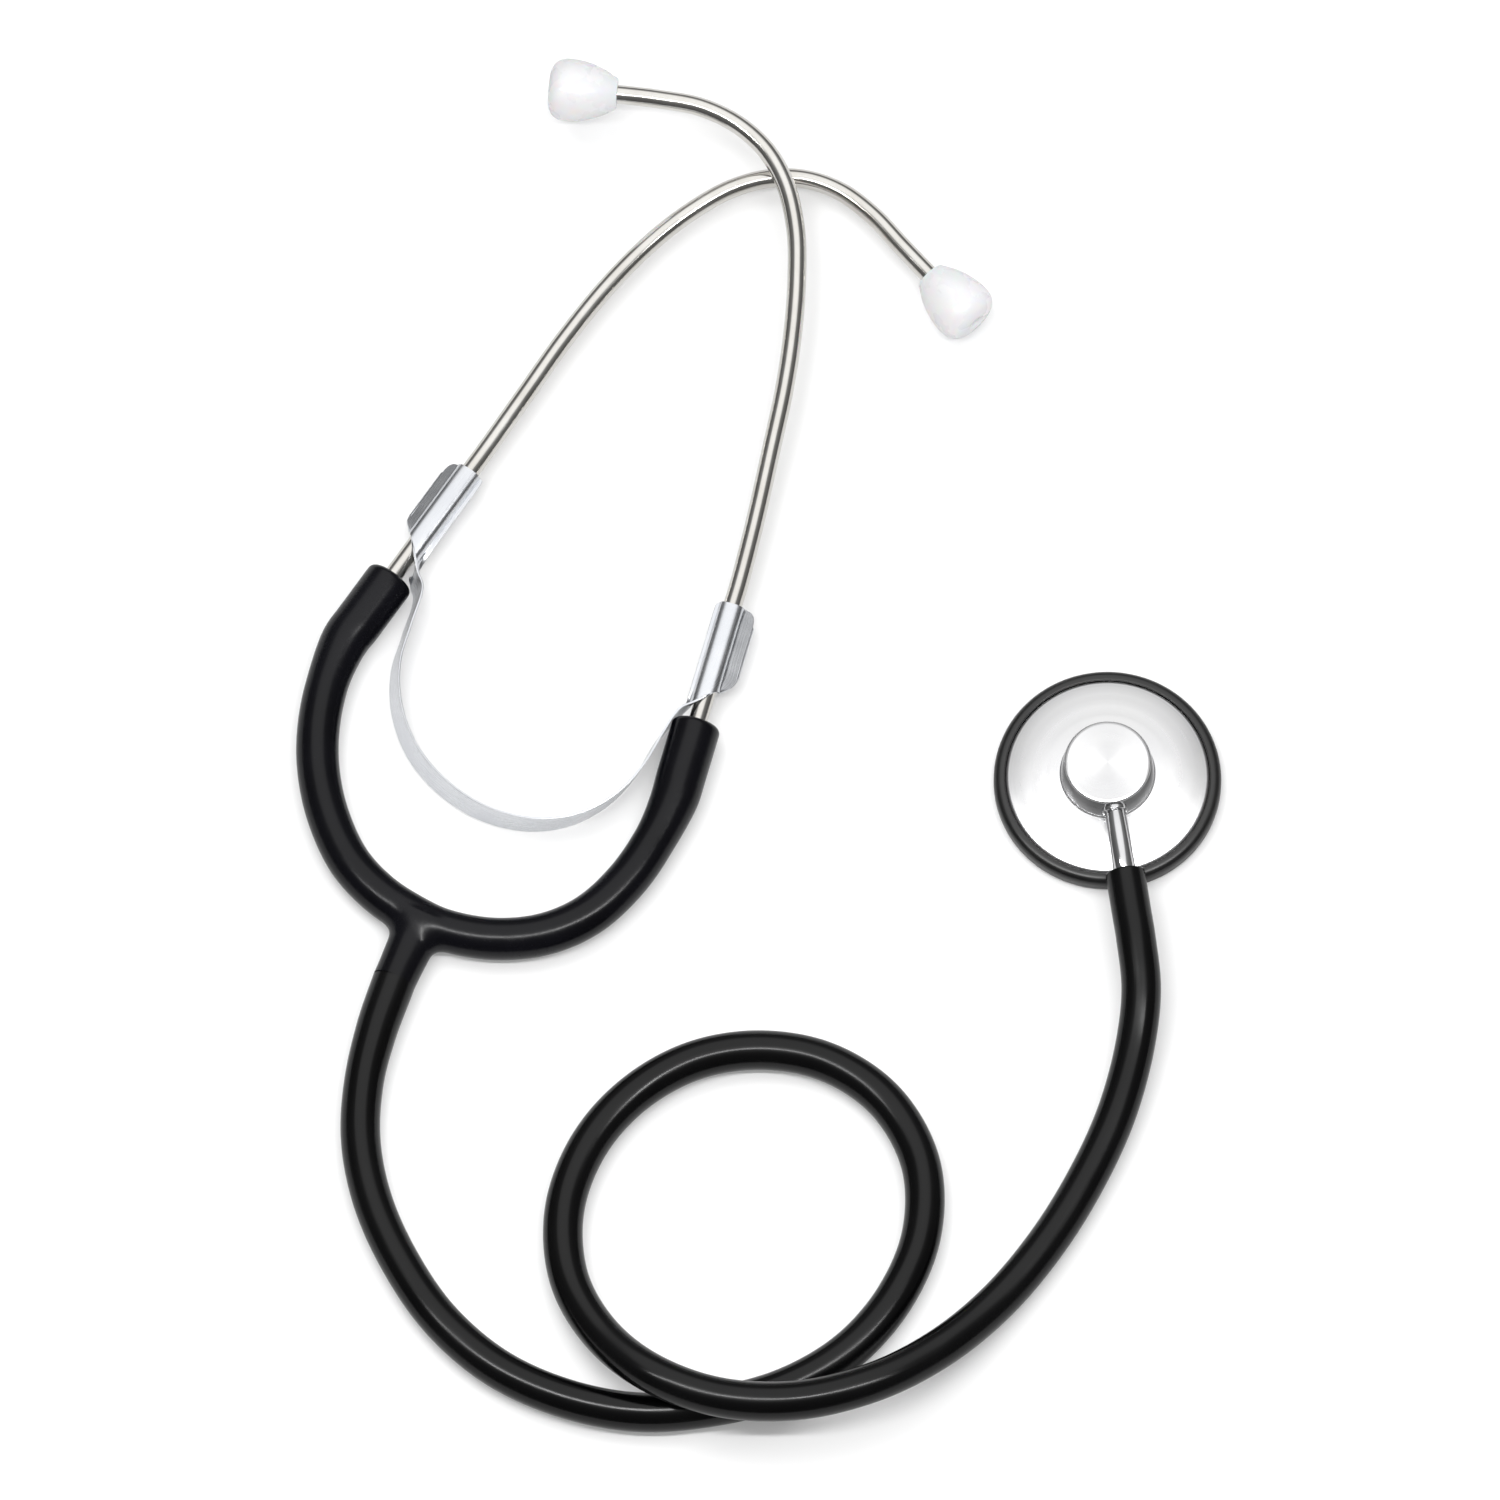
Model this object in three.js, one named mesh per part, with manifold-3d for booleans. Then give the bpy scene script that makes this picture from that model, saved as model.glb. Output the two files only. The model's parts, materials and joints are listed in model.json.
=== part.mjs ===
// Single-head acoustic stethoscope, lying on a table with its ear tubes crossed and its hose in one loop.
// Millimetres, +Z up. The table is z = 0. The origin is on the table, under the middle of the box round
// the headset and the chest piece (the free hose left out). "Left" and "right" are seen from above with
// the ear tips away from the viewer: the left ear tube starts at the left arm of the yoke.

import * as THREE from 'three';
import { mergeVertices } from 'three/addons/utils/BufferGeometryUtils.js';
import Module from 'manifold-3d';

const wasm = await Module();
wasm.setup();

// ---------- Driving dimensions ----------

const FIT_GAP = 0.3; // left between pieces that seat on each other
const OVERSHOOT = 1; // how far a cutting rod runs past the face it opens

const EAR_TUBE = { outer: 1.95, bore: 1.4, sides: 12, boreSides: 8, steps: 44, insertion: 11.5 };
const EAR_TIP = {
  length: 14.2,
  neck: 3.3,
  widest: 6.5,
  widestAt: 0.72,
  soundHole: 1.2,
  rimWidth: 1,
  rimDepth: 0.4,
  socketDepth: 7,
  segments: 24,
};
const YOKE = {
  slim: 4.4,
  thick: 5.1,
  endEdge: 4.1,
  bore: 2.35,
  sides: 12,
  boreSides: 10,
  stepLength: 3,
  flareLength: 30,
  webRadius: 7.4,
  webShare: 0.62,
};
const HOSE = { outer: 4.1, bore: 2.8, sides: 10, boreSides: 8, steps: 74 };
const BAND = { thickness: 0.6, width: 7.5, bottom: 0.8, samples: 44 };
const CLIP = { sleeve: 2.5, sleeveBore: 2.15, flange: 0.8, outerReach: 4.7, innerReach: 3.5 };
const CHEST = {
  centre: new THREE.Vector3(71.9, -54.6, 0),
  plateRadius: 21,
  plateEdgeTop: 4.4,
  seat: 1.7,
  hubBase: 9.7,
  hubBaseHeight: 6.6,
  hubTop: 8.7,
  height: 13.4,
  recessRadius: 19.4,
  recessEdge: 0.35,
  recessDepth: 1.6,
  edge: 0.3,
  foot: 0.4,
  segments: 48,
};
const RING = { outer: 23.5, height: 4.6, lip: 0.8, lipRadius: 18.9, edge: 1.3, crown: 1.9 };
const DIAPHRAGM = { radius: 20.9, thickness: 0.3 };
const STEM = {
  radius: 2.3,
  bore: 1.3,
  axisHeight: 10,
  inner: 6,
  hoseStart: 22,
  tail: 33,
  direction: -81.3,
  barbs: 2,
  firstBarb: 23.5,
  barbLength: 3.5,
  barbStep: 0.5,
  barbDepth: 0.35,
  segments: 20,
};

// ---------- Small helpers ----------

const vector = ([x, y, z]) => new THREE.Vector3(x, y, z);
const unit = (degrees, rise = 0) => {
  const turn = THREE.MathUtils.degToRad(degrees);
  return new THREE.Vector3(Math.cos(turn), Math.sin(turn), rise).normalize();
};
const along = (start, direction, distance) => start.clone().addScaledVector(direction, distance);
const smooth = (points) => new THREE.CatmullRomCurve3(points, false, 'centripetal');

function circlePoints(radius, sides) {
  return Array.from({ length: sides }, (_, index) => {
    const turn = (2 * Math.PI * index) / sides;
    return new THREE.Vector2(radius * Math.cos(turn), radius * Math.sin(turn));
  });
}

// A round section, hollow when a bore radius is given.
function roundSection(radius, sides, bore = 0, boreSides = sides) {
  const section = new THREE.Shape(circlePoints(radius, sides));
  if (bore > 0) {
    section.holes.push(new THREE.Path(circlePoints(bore, boreSides)));
  }
  return section;
}

function sweep(section, curve, steps) {
  return new THREE.ExtrudeGeometry(section, { extrudePath: curve, steps, bevelEnabled: false });
}

// Moves a swept tube's outer wall to radiusAt(t), t running from 0 to 1 along the curve.
function reshapeWall(geometry, curve, steps, wallStart, radiusAt) {
  const centres = curve.getSpacedPoints(steps);
  const position = geometry.getAttribute('position');
  const corner = new THREE.Vector3();
  for (let index = 0; index < position.count; index += 1) {
    corner.fromBufferAttribute(position, index);
    const distances = centres.map((centre) => centre.distanceTo(corner));
    const nearest = distances.indexOf(Math.min(...distances));
    if (distances[nearest] > wallStart) {
      const scale = radiusAt(nearest / steps) / distances[nearest];
      corner.sub(centres[nearest]).multiplyScalar(scale).add(centres[nearest]);
      position.setXYZ(index, corner.x, corner.y, corner.z);
    }
  }
  return geometry;
}

// Presses whatever stands above or below two levels flat onto them.
function limitHeight(geometry, lowest, highest) {
  const position = geometry.getAttribute('position');
  for (let index = 0; index < position.count; index += 1) {
    position.setZ(index, THREE.MathUtils.clamp(position.getZ(index), lowest, highest));
  }
  return geometry;
}

// The stretch of a curve between two distances along it.
class Stretch extends THREE.Curve {
  constructor(whole, from, to) {
    super();
    this.whole = whole;
    this.from = from / whole.getLength();
    this.to = to / whole.getLength();
  }

  getPoint(t, target = new THREE.Vector3()) {
    return this.whole.getPointAt(THREE.MathUtils.lerp(this.from, this.to, t), target);
  }
}

function toSolid(geometry) {
  const bare = geometry.clone();
  bare.deleteAttribute('normal');
  bare.deleteAttribute('uv');
  const merged = mergeVertices(bare, 1e-4);
  return new wasm.Manifold(new wasm.Mesh({
    numProp: 3,
    vertProperties: new Float32Array(merged.getAttribute('position').array),
    triVerts: new Uint32Array(merged.index.array),
  }));
}

function toGeometry(solid) {
  const mesh = solid.getMesh();
  const geometry = new THREE.BufferGeometry();
  geometry.setAttribute('position', new THREE.BufferAttribute(mesh.vertProperties, 3));
  geometry.setIndex(new THREE.BufferAttribute(mesh.triVerts, 1));
  geometry.computeVertexNormals();
  return geometry;
}

// A profile of [radius, height] pairs or Vector2s, turned about the Z axis.
function turned(profile, segments) {
  const points = profile.map((point) => (Array.isArray(point) ? new THREE.Vector2(...point) : point));
  return new THREE.LatheGeometry(points, segments).rotateX(Math.PI / 2);
}

// ---------- Materials ----------

const material = (color, roughness, metalness) => (
  new THREE.MeshStandardMaterial({ color, roughness, metalness })
);
const nickelTube = () => material(0xb9b6ae, 0.2, 1);
const springSteel = () => material(0xb4b8bf, 0.35, 1);
const blackVinyl = () => material(0x0b0b0f, 0.42, 0);
const blackHose = () => material(0x050506, 0.25, 0);
const blackRing = () => material(0x161617, 0.35, 0);
const whiteTip = () => material(0xe2e5ee, 0.3, 0);
const turnedAluminium = () => material(0xe0e0e0, 0.3, 1);
const polishedChrome = () => material(0xd5d5d5, 0.1, 1);
const clearFilm = () => material(0xdcdcd8, 0.4, 0);

const group = new THREE.Group();

function addPiece(name, geometry, finish) {
  const mesh = new THREE.Mesh(geometry, finish);
  mesh.name = name;
  group.add(mesh);
  return mesh;
}

// Stands a piece whose own axis is +Z along another direction.
function aim(mesh, origin, direction) {
  mesh.position.copy(origin);
  mesh.quaternion.setFromUnitVectors(new THREE.Vector3(0, 0, 1), direction);
}

// ---------- Headset: where each arm of the yoke ends, and the way its ear tube leaves it ----------

const leftArmEnd = new THREE.Vector3(-75.9, -11, 5.1);
const leftAxis = unit(55.2, 0.012);
const rightArmEnd = new THREE.Vector3(-12.8, -43.3, 5.5);
const rightAxis = unit(74, 0.038);
const SOCKET_START = -17;
const SOCKET_STRAIGHT = -12;

// ---------- Yoke: one moulding in the real object, here its centre and the two arms that flex ----------

const yokeLine = smooth([
  leftArmEnd,
  along(leftArmEnd, leftAxis, SOCKET_STRAIGHT),
  along(leftArmEnd, leftAxis, SOCKET_START),
  ...[
    [-89.2, -34.5, 4.9], [-91, -44.6, 4.7], [-90.9, -53.6, 4.5], [-88.8, -63.6, 4.5],
    [-84.4, -73.4, 4.5], [-78.2, -80.4, 4.5], [-71.6, -85, 4.5], [-65.1, -88.2, 4.5],
    [-54.6, -90.2, 4.5], [-44.1, -89.1, 4.5], [-35.1, -84.9, 4.5], [-27.1, -77.1, 4.6], [-21.2, -67.9, 4.8],
  ].map(vector),
  along(rightArmEnd, rightAxis, SOCKET_START),
  along(rightArmEnd, rightAxis, SOCKET_STRAIGHT),
  rightArmEnd,
]);
const yokeLength = yokeLine.getLength();
const branchPoint = new THREE.Vector3(-71.6, -85, 4.5);
const tailEnd = new THREE.Vector3(-76, -99.1, 4.4);
const JUNCTION_START = 76.5;
const JUNCTION_END = 94.5;

const yokeRadius = (distance) => {
  const fromEnd = Math.min(distance, yokeLength - distance);
  const flare = 1 - THREE.MathUtils.smoothstep(fromEnd, 0, YOKE.flareLength);
  return YOKE.slim + (YOKE.thick - YOKE.slim) * flare;
};

function addArm(name, from, to) {
  const curve = new Stretch(yokeLine, from, to);
  const steps = Math.round((to - from) / YOKE.stepLength);
  const section = roundSection(YOKE.slim, YOKE.sides, YOKE.bore, YOKE.boreSides);
  const freeEnd = from === 0 ? 0 : 1;
  const radiusAt = (t) => (t === freeEnd ? YOKE.endEdge : yokeRadius(from + (to - from) * t));
  const wallStart = (YOKE.slim + YOKE.bore) / 2;
  const arm = reshapeWall(sweep(section, curve, steps), curve, steps, wallStart, radiusAt);
  addPiece(name, arm, blackVinyl());
}

function addJunction() {
  const across = new Stretch(yokeLine, JUNCTION_START, JUNCTION_END);
  const pastBothFaces = new Stretch(yokeLine, JUNCTION_START - OVERSHOOT, JUNCTION_END + OVERSHOOT);
  const tail = new THREE.LineCurve3(branchPoint, tailEnd);
  const tailDirection = tailEnd.clone().sub(branchPoint).normalize();
  const pastTail = new THREE.LineCurve3(branchPoint, along(tailEnd, tailDirection, OVERSHOOT));
  const steps = 7;
  const section = roundSection(YOKE.slim, YOKE.sides);
  const bore = roundSection(YOKE.bore, YOKE.boreSides);
  const webAt = (t) => {
    const narrowing = THREE.MathUtils.smoothstep(t, 0, YOKE.webShare);
    return THREE.MathUtils.lerp(YOKE.webRadius, HOSE.outer, narrowing);
  };
  const tailWall = reshapeWall(sweep(section, tail, steps), tail, steps, 1, webAt);
  const tailSolid = limitHeight(tailWall, branchPoint.z - YOKE.slim, branchPoint.z + YOKE.slim);
  const outside = toSolid(sweep(section, across, steps)).add(toSolid(tailSolid));
  const bores = toSolid(sweep(bore, pastBothFaces, steps + 2)).add(toSolid(sweep(bore, pastTail, 1)));
  addPiece('yoke_junction', toGeometry(outside.subtract(bores)), blackVinyl());
}

addArm('yoke_arm_left', 0, JUNCTION_START - FIT_GAP);
addArm('yoke_arm_right', JUNCTION_END + FIT_GAP, yokeLength);
addJunction();

// ---------- Ear tubes: bent metal, pushed into the yoke arms; the right one crosses over the left ----------

const CLIP_LEFT = { from: 8, to: 28 };
const CLIP_RIGHT = { from: 6.3, to: 26.3 };

const leftTip = { neck: new THREE.Vector3(35.4, 55, 6.5), direction: unit(-47.7) };
const rightTip = { neck: new THREE.Vector3(-29.4, 92.9, 12.6), direction: unit(174.5) };

const leftTubeLine = smooth([
  along(leftArmEnd, leftAxis, -EAR_TUBE.insertion),
  along(leftArmEnd, leftAxis, CLIP_LEFT.from),
  along(leftArmEnd, leftAxis, CLIP_LEFT.to),
  along(leftArmEnd, leftAxis, CLIP_LEFT.to + 5),
  ...[
    [-48.6, 28.7, 5.8], [-40.2, 41.3, 5.9], [-31.2, 53.1, 6], [-22, 62.9, 6], [-14, 69.5, 6], [-5.8, 74.4, 6],
    [2.4, 76.7, 6.1], [10, 76.4, 6.2], [17, 73.6, 6.4], [23.6, 68.3, 6.5], [29.4, 61.7, 6.5],
  ].map(vector),
  leftTip.neck,
  along(leftTip.neck, leftTip.direction, EAR_TIP.socketDepth - FIT_GAP),
]);

const rightTubeLine = smooth([
  along(rightArmEnd, rightAxis, -EAR_TUBE.insertion),
  along(rightArmEnd, rightAxis, CLIP_RIGHT.from),
  along(rightArmEnd, rightAxis, CLIP_RIGHT.to),
  along(rightArmEnd, rightAxis, CLIP_RIGHT.to + 5),
  ...[
    [-1, -0.3, 7.3], [2.4, 15.5, 8.1], [5.3, 29.5, 9], [7, 41.4, 9.8], [7.8, 52.9, 10.4], [7.6, 63.4, 10.9],
    [5.4, 73.5, 11.3], [1.4, 80.9, 11.7], [-4.6, 86.5, 12], [-12, 90.1, 12.4], [-20.6, 91.8, 12.6],
  ].map(vector),
  rightTip.neck,
  along(rightTip.neck, rightTip.direction, EAR_TIP.socketDepth - FIT_GAP),
]);

function addEarTube(name, line) {
  const section = roundSection(EAR_TUBE.outer, EAR_TUBE.sides, EAR_TUBE.bore, EAR_TUBE.boreSides);
  addPiece(name, sweep(section, line, EAR_TUBE.steps), nickelTube());
}

addEarTube('ear_tube_left', leftTubeLine);
addEarTube('ear_tube_right', rightTubeLine);

// ---------- Ear tips: a hard bell with a sound hole, screwed on the tube's end ----------

function addEarTip(name, place) {
  const { length, neck, widest, widestAt, soundHole, rimWidth, rimDepth, socketDepth, segments } = EAR_TIP;
  const socket = EAR_TUBE.outer + FIT_GAP;
  const outline = new THREE.Path();
  outline.moveTo(socket, 0);
  outline.lineTo(neck, 0);
  outline.bezierCurveTo(neck + 1.5, length * 0.17, widest, length * 0.42, widest, length * widestAt);
  outline.bezierCurveTo(widest, length * 0.94, widest * 0.68, length, soundHole + rimWidth, length);
  outline.lineTo(soundHole, length - rimDepth);
  outline.lineTo(soundHole, socketDepth);
  outline.lineTo(socket, socketDepth);
  outline.lineTo(socket, 0);
  aim(addPiece(name, turned(outline.getPoints(5), segments), whiteTip()), place.neck, place.direction);
}

addEarTip('ear_tip_left', leftTip);
addEarTip('ear_tip_right', rightTip);

// ---------- Spring: one steel strip, here its flexing band and the two ends folded round the tubes

function addClip(name, armEnd, axis, span, outwardSide) {
  const { sleeve, sleeveBore, flange, outerReach, innerReach } = CLIP;
  const root = Math.asin(flange / 2 / sleeve);
  const section = new THREE.Shape();
  section.absarc(0, 0, sleeve, root, Math.PI - root, false);
  section.lineTo(-innerReach, flange / 2);
  section.lineTo(-innerReach, -flange / 2);
  section.absarc(0, 0, sleeve, Math.PI + root, 2 * Math.PI - root, false);
  section.lineTo(outerReach, -flange / 2);
  section.lineTo(outerReach, flange / 2);
  section.holes.push(new THREE.Path(circlePoints(sleeveBore, EAR_TUBE.sides)));
  const depth = span.to - span.from;
  const clip = addPiece(
    name,
    new THREE.ExtrudeGeometry(section, { depth, curveSegments: 8, bevelEnabled: false }),
    springSteel(),
  );
  const up = new THREE.Vector3(0, 0, 1);
  const outward = new THREE.Vector3().crossVectors(axis, up).multiplyScalar(outwardSide).normalize();
  const third = new THREE.Vector3().crossVectors(axis, outward);
  clip.position.copy(along(armEnd, axis, span.from));
  clip.quaternion.setFromRotationMatrix(new THREE.Matrix4().makeBasis(outward, third, axis));
}

function addBand() {
  const line = smooth([
    [-69.2, -6.9, 0], [-69.7, -10.1, 0], [-70, -14.1, 0], [-72.4, -22.6, 0],
    [-74.6, -30.6, 0], [-74.4, -39.6, 0], [-71.1, -49.1, 0], [-64.6, -57.1, 0],
    [-56.1, -62.7, 0], [-46.1, -65.1, 0], [-37.1, -63.7, 0], [-29.4, -59.1, 0],
    [-23.8, -52.5, 0], [-20.4, -46.4, 0], [-17.2, -40.7, 0], [-14.8, -37.3, 0],
  ].map(vector));
  const sides = [1, -1].map((side) => Array.from({ length: BAND.samples + 1 }, (_, index) => {
    const at = line.getPointAt(index / BAND.samples);
    const tangent = line.getTangentAt(index / BAND.samples);
    const offset = (side * BAND.thickness) / 2;
    return new THREE.Vector2(at.x - tangent.y * offset, at.y + tangent.x * offset);
  }));
  const outline = new THREE.Shape([...sides[0], ...sides[1].reverse()]);
  const band = addPiece(
    'spring_band',
    new THREE.ExtrudeGeometry(outline, { depth: BAND.width, bevelEnabled: false }),
    springSteel(),
  );
  band.position.z = BAND.bottom;
}

addClip('spring_clip_left', leftArmEnd, leftAxis, CLIP_LEFT, -1);
addClip('spring_clip_right', rightArmEnd, rightAxis, CLIP_RIGHT, 1);
addBand();

// ---------- Chest piece ----------

const stemDirection = unit(STEM.direction);
const stemOrigin = CHEST.centre.clone().setZ(STEM.axisHeight);

// Plate and hub turned in one piece, with a shallow sound recess, an axial bore and the stem's side bore.
function addChestBody() {
  const { seat, edge, foot, hubBase, hubTop, height } = CHEST;
  const body = turned([
    [0, seat + CHEST.recessDepth],
    [CHEST.recessRadius, seat + CHEST.recessEdge],
    [CHEST.recessRadius, seat],
    [CHEST.plateRadius, seat],
    [CHEST.plateRadius, CHEST.plateEdgeTop - edge],
    [CHEST.plateRadius - edge, CHEST.plateEdgeTop],
    [hubBase + foot, CHEST.hubBaseHeight],
    [hubBase, CHEST.hubBaseHeight + foot],
    [hubTop + edge, height - edge],
    [hubTop, height],
    [0, height],
  ], CHEST.segments).translate(CHEST.centre.x, CHEST.centre.y, 0);
  const upright = new THREE.Vector3(0, 0, 1);
  const axialBore = new THREE.LineCurve3(CHEST.centre, along(CHEST.centre, upright, STEM.axisHeight));
  const innerBore = new THREE.LineCurve3(stemOrigin, along(stemOrigin, stemDirection, STEM.inner));
  const stemSeat = new THREE.LineCurve3(
    along(stemOrigin, stemDirection, STEM.inner - FIT_GAP),
    along(stemOrigin, stemDirection, CHEST.hubBase + OVERSHOOT),
  );
  const channel = roundSection(STEM.bore, EAR_TUBE.sides);
  const solid = toSolid(body)
    .subtract(toSolid(sweep(channel, axialBore, 1)))
    .subtract(toSolid(sweep(channel, innerBore, 1)))
    .subtract(toSolid(sweep(roundSection(STEM.radius + FIT_GAP, 16), stemSeat, 1)));
  addPiece('chestpiece_body', toGeometry(solid), turnedAluminium());
}

// Hollow spigot: pressed into the hub, bare over the rim, then two barbs inside the hose.
function addStem() {
  const { radius, bore, inner, tail, barbs, firstBarb, barbLength, barbStep, barbDepth } = STEM;
  const outline = [[bore, inner], [radius, inner], [radius, firstBarb]];
  for (let barb = 0; barb < barbs; barb += 1) {
    const start = firstBarb + barb * barbLength;
    outline.push([radius - barbDepth, start + barbStep], [radius, start + barbLength]);
  }
  outline.push([radius - barbDepth, tail], [bore, tail], [bore, inner]);
  const stem = addPiece('stem', turned(outline, STEM.segments), polishedChrome());
  aim(stem, stemOrigin, stemDirection);
}

// Screw-on ring with a lip that carries the diaphragm's edge.
function addRing() {
  const { outer, height, lip, lipRadius, edge, crown } = RING;
  const inside = CHEST.plateRadius + FIT_GAP;
  const outline = new THREE.Path();
  outline.moveTo(lipRadius, 0);
  outline.lineTo(outer - edge, 0);
  outline.absarc(outer - edge, edge, edge, -Math.PI / 2, 0, false);
  outline.lineTo(outer, height - crown);
  outline.absarc(outer - crown, height - crown, crown, 0, Math.PI / 2, false);
  outline.lineTo(inside, height);
  outline.lineTo(inside, lip);
  outline.lineTo(lipRadius, lip);
  outline.lineTo(lipRadius, 0);
  const ring = addPiece('retaining_ring', turned(outline.getPoints(3), CHEST.segments), blackRing());
  ring.position.copy(CHEST.centre);
}

function addDiaphragm() {
  const bottom = RING.lip + FIT_GAP;
  const disc = addPiece('diaphragm', turned([
    [0, bottom],
    [DIAPHRAGM.radius, bottom],
    [DIAPHRAGM.radius, bottom + DIAPHRAGM.thickness],
    [0, bottom + DIAPHRAGM.thickness],
  ], CHEST.segments), clearFilm());
  disc.position.copy(CHEST.centre);
}

addChestBody();
addStem();
addRing();
addDiaphragm();

// ---------- Hose: from the yoke's tail, one loop counter-clockwise, over itself, up to the stem ----------

const hoseRoute = [
  [-76.1, -99.4, 4.4], [-79.6, -110.1, 4.2], [-82.2, -121.6, 4.1], [-82.6, -134.1, 4.1], [-80.2, -147.1, 4.1],
  [-74.6, -160.6, 4.1], [-66, -173.7, 4.1], [-54.1, -184.3, 4.1], [-39.6, -190.9, 4.1], [-24.6, -193.4, 4.1],
  [-9.1, -192.1, 4.1], [5.4, -188, 4.1], [18.2, -180.1, 4.1], [27.8, -168.6, 4.1], [33.4, -154.6, 4.1],
  [33.2, -139.1, 4.1], [26, -125.5, 4.1], [14.2, -117.1, 4.1], [0.4, -114.4, 4.1], [-13.4, -116.7, 4.1],
  [-25.6, -123.9, 4.1], [-34.9, -134.9, 4.1], [-40, -149.1, 4.1], [-39.2, -164.1, 4.7], [-32.8, -177.3, 8],
  [-22.6, -187.3, 11.8], [-8.6, -193.1, 12.9], [7.4, -193.9, 12.9], [22.9, -189.9, 12.3], [36.4, -181.7, 9],
  [48.8, -169.9, 5.3], [59.2, -156.5, 4.1], [67.4, -142.5, 4.1], [73.6, -128.1, 4.1], [77.4, -113.6, 4.7],
  [78.6, -102.1, 7.4],
].map(vector);

const hoseLine = smooth([
  ...hoseRoute,
  along(stemOrigin, stemDirection, STEM.tail + 5),
  along(stemOrigin, stemDirection, STEM.tail - 1),
  along(stemOrigin, stemDirection, STEM.hoseStart),
]);

const hoseSection = roundSection(HOSE.outer, HOSE.sides, HOSE.bore, HOSE.boreSides);
addPiece('hose', sweep(hoseSection, hoseLine, HOSE.steps), blackHose());

export default group;
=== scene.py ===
import json
import math

import bmesh
import bpy
import numpy as np
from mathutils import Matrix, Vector

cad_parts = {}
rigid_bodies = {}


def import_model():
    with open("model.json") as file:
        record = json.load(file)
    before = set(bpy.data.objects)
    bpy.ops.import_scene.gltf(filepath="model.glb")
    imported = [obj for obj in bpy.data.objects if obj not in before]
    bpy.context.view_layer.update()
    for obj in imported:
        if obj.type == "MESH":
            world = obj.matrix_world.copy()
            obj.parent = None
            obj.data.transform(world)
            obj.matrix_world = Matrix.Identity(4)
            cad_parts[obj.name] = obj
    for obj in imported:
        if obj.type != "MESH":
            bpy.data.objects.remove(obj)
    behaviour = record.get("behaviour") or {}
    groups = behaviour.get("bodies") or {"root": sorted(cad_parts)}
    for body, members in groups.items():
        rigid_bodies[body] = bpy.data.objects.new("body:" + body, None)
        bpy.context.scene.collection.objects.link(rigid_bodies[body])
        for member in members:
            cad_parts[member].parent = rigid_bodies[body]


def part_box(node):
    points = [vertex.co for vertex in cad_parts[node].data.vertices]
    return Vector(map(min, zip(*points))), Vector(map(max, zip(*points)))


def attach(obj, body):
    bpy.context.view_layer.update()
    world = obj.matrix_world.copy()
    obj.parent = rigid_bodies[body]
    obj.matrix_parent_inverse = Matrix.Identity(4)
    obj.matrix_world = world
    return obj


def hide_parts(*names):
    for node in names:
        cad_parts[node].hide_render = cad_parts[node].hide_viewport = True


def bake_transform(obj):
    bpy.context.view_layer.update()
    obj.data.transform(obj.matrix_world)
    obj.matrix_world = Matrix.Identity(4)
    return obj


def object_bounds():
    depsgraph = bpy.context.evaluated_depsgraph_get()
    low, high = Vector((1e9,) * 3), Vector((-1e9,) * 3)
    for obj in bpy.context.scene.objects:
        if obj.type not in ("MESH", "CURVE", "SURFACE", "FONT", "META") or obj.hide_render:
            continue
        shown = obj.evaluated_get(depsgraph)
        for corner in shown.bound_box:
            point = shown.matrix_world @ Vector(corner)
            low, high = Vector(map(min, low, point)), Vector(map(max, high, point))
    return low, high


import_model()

# A single-head stethoscope lying on a white table. Metres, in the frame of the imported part.
# "Left" and "right" are seen from above with the ear tips away from the viewer.

cad_low, cad_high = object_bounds()
scene = bpy.context.scene
MM = 0.001

# ---------- Lines: smooth curves through given points ----------------


def catmull_rom(points, counts):
    """Centripetal Catmull-Rom curve, with counts[k] steps on the stretch after point k."""
    given = np.array(points, float)
    first = 2 * given[0] - given[1]
    last = 2 * given[-1] - given[-2]
    knots = np.vstack([first, given, last])
    samples = []
    for index, count in enumerate(counts):
        before, start, end, after = knots[index:index + 4]
        gap_before = np.linalg.norm(start - before) ** 0.5
        gap = np.linalg.norm(end - start) ** 0.5
        gap_after = np.linalg.norm(after - end) ** 0.5
        leaving = (start - before) / gap_before - (end - before) / (gap_before + gap) + (end - start) / gap
        reaching = (end - start) / gap - (after - start) / (gap + gap_after) + (after - end) / gap_after
        t = np.linspace(0, 1, count, endpoint=False)[:, None]
        samples.append(
            (2 * t**3 - 3 * t**2 + 1) * start
            + (t**3 - 2 * t**2 + t) * leaving * gap
            + (3 * t**2 - 2 * t**3) * end
            + (t**3 - t**2) * reaching * gap
        )
    samples.append(given[-1:])
    return np.vstack(samples)


def unit(vectors):
    return vectors / np.linalg.norm(vectors, axis=-1, keepdims=True)


def smooth_step(value, start, end):
    """0 up to start, 1 from end on, and an even S between them."""
    share = np.clip((value - start) / (end - start), 0, 1)
    return share**2 * (3 - 2 * share)


def smooth_min(first, second, reach):
    """The smaller of the two, with a fillet of this reach where they meet."""
    overlap = np.clip(reach - np.abs(first - second), 0, None) / reach
    return np.minimum(first, second) - overlap**2 * reach / 4


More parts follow.
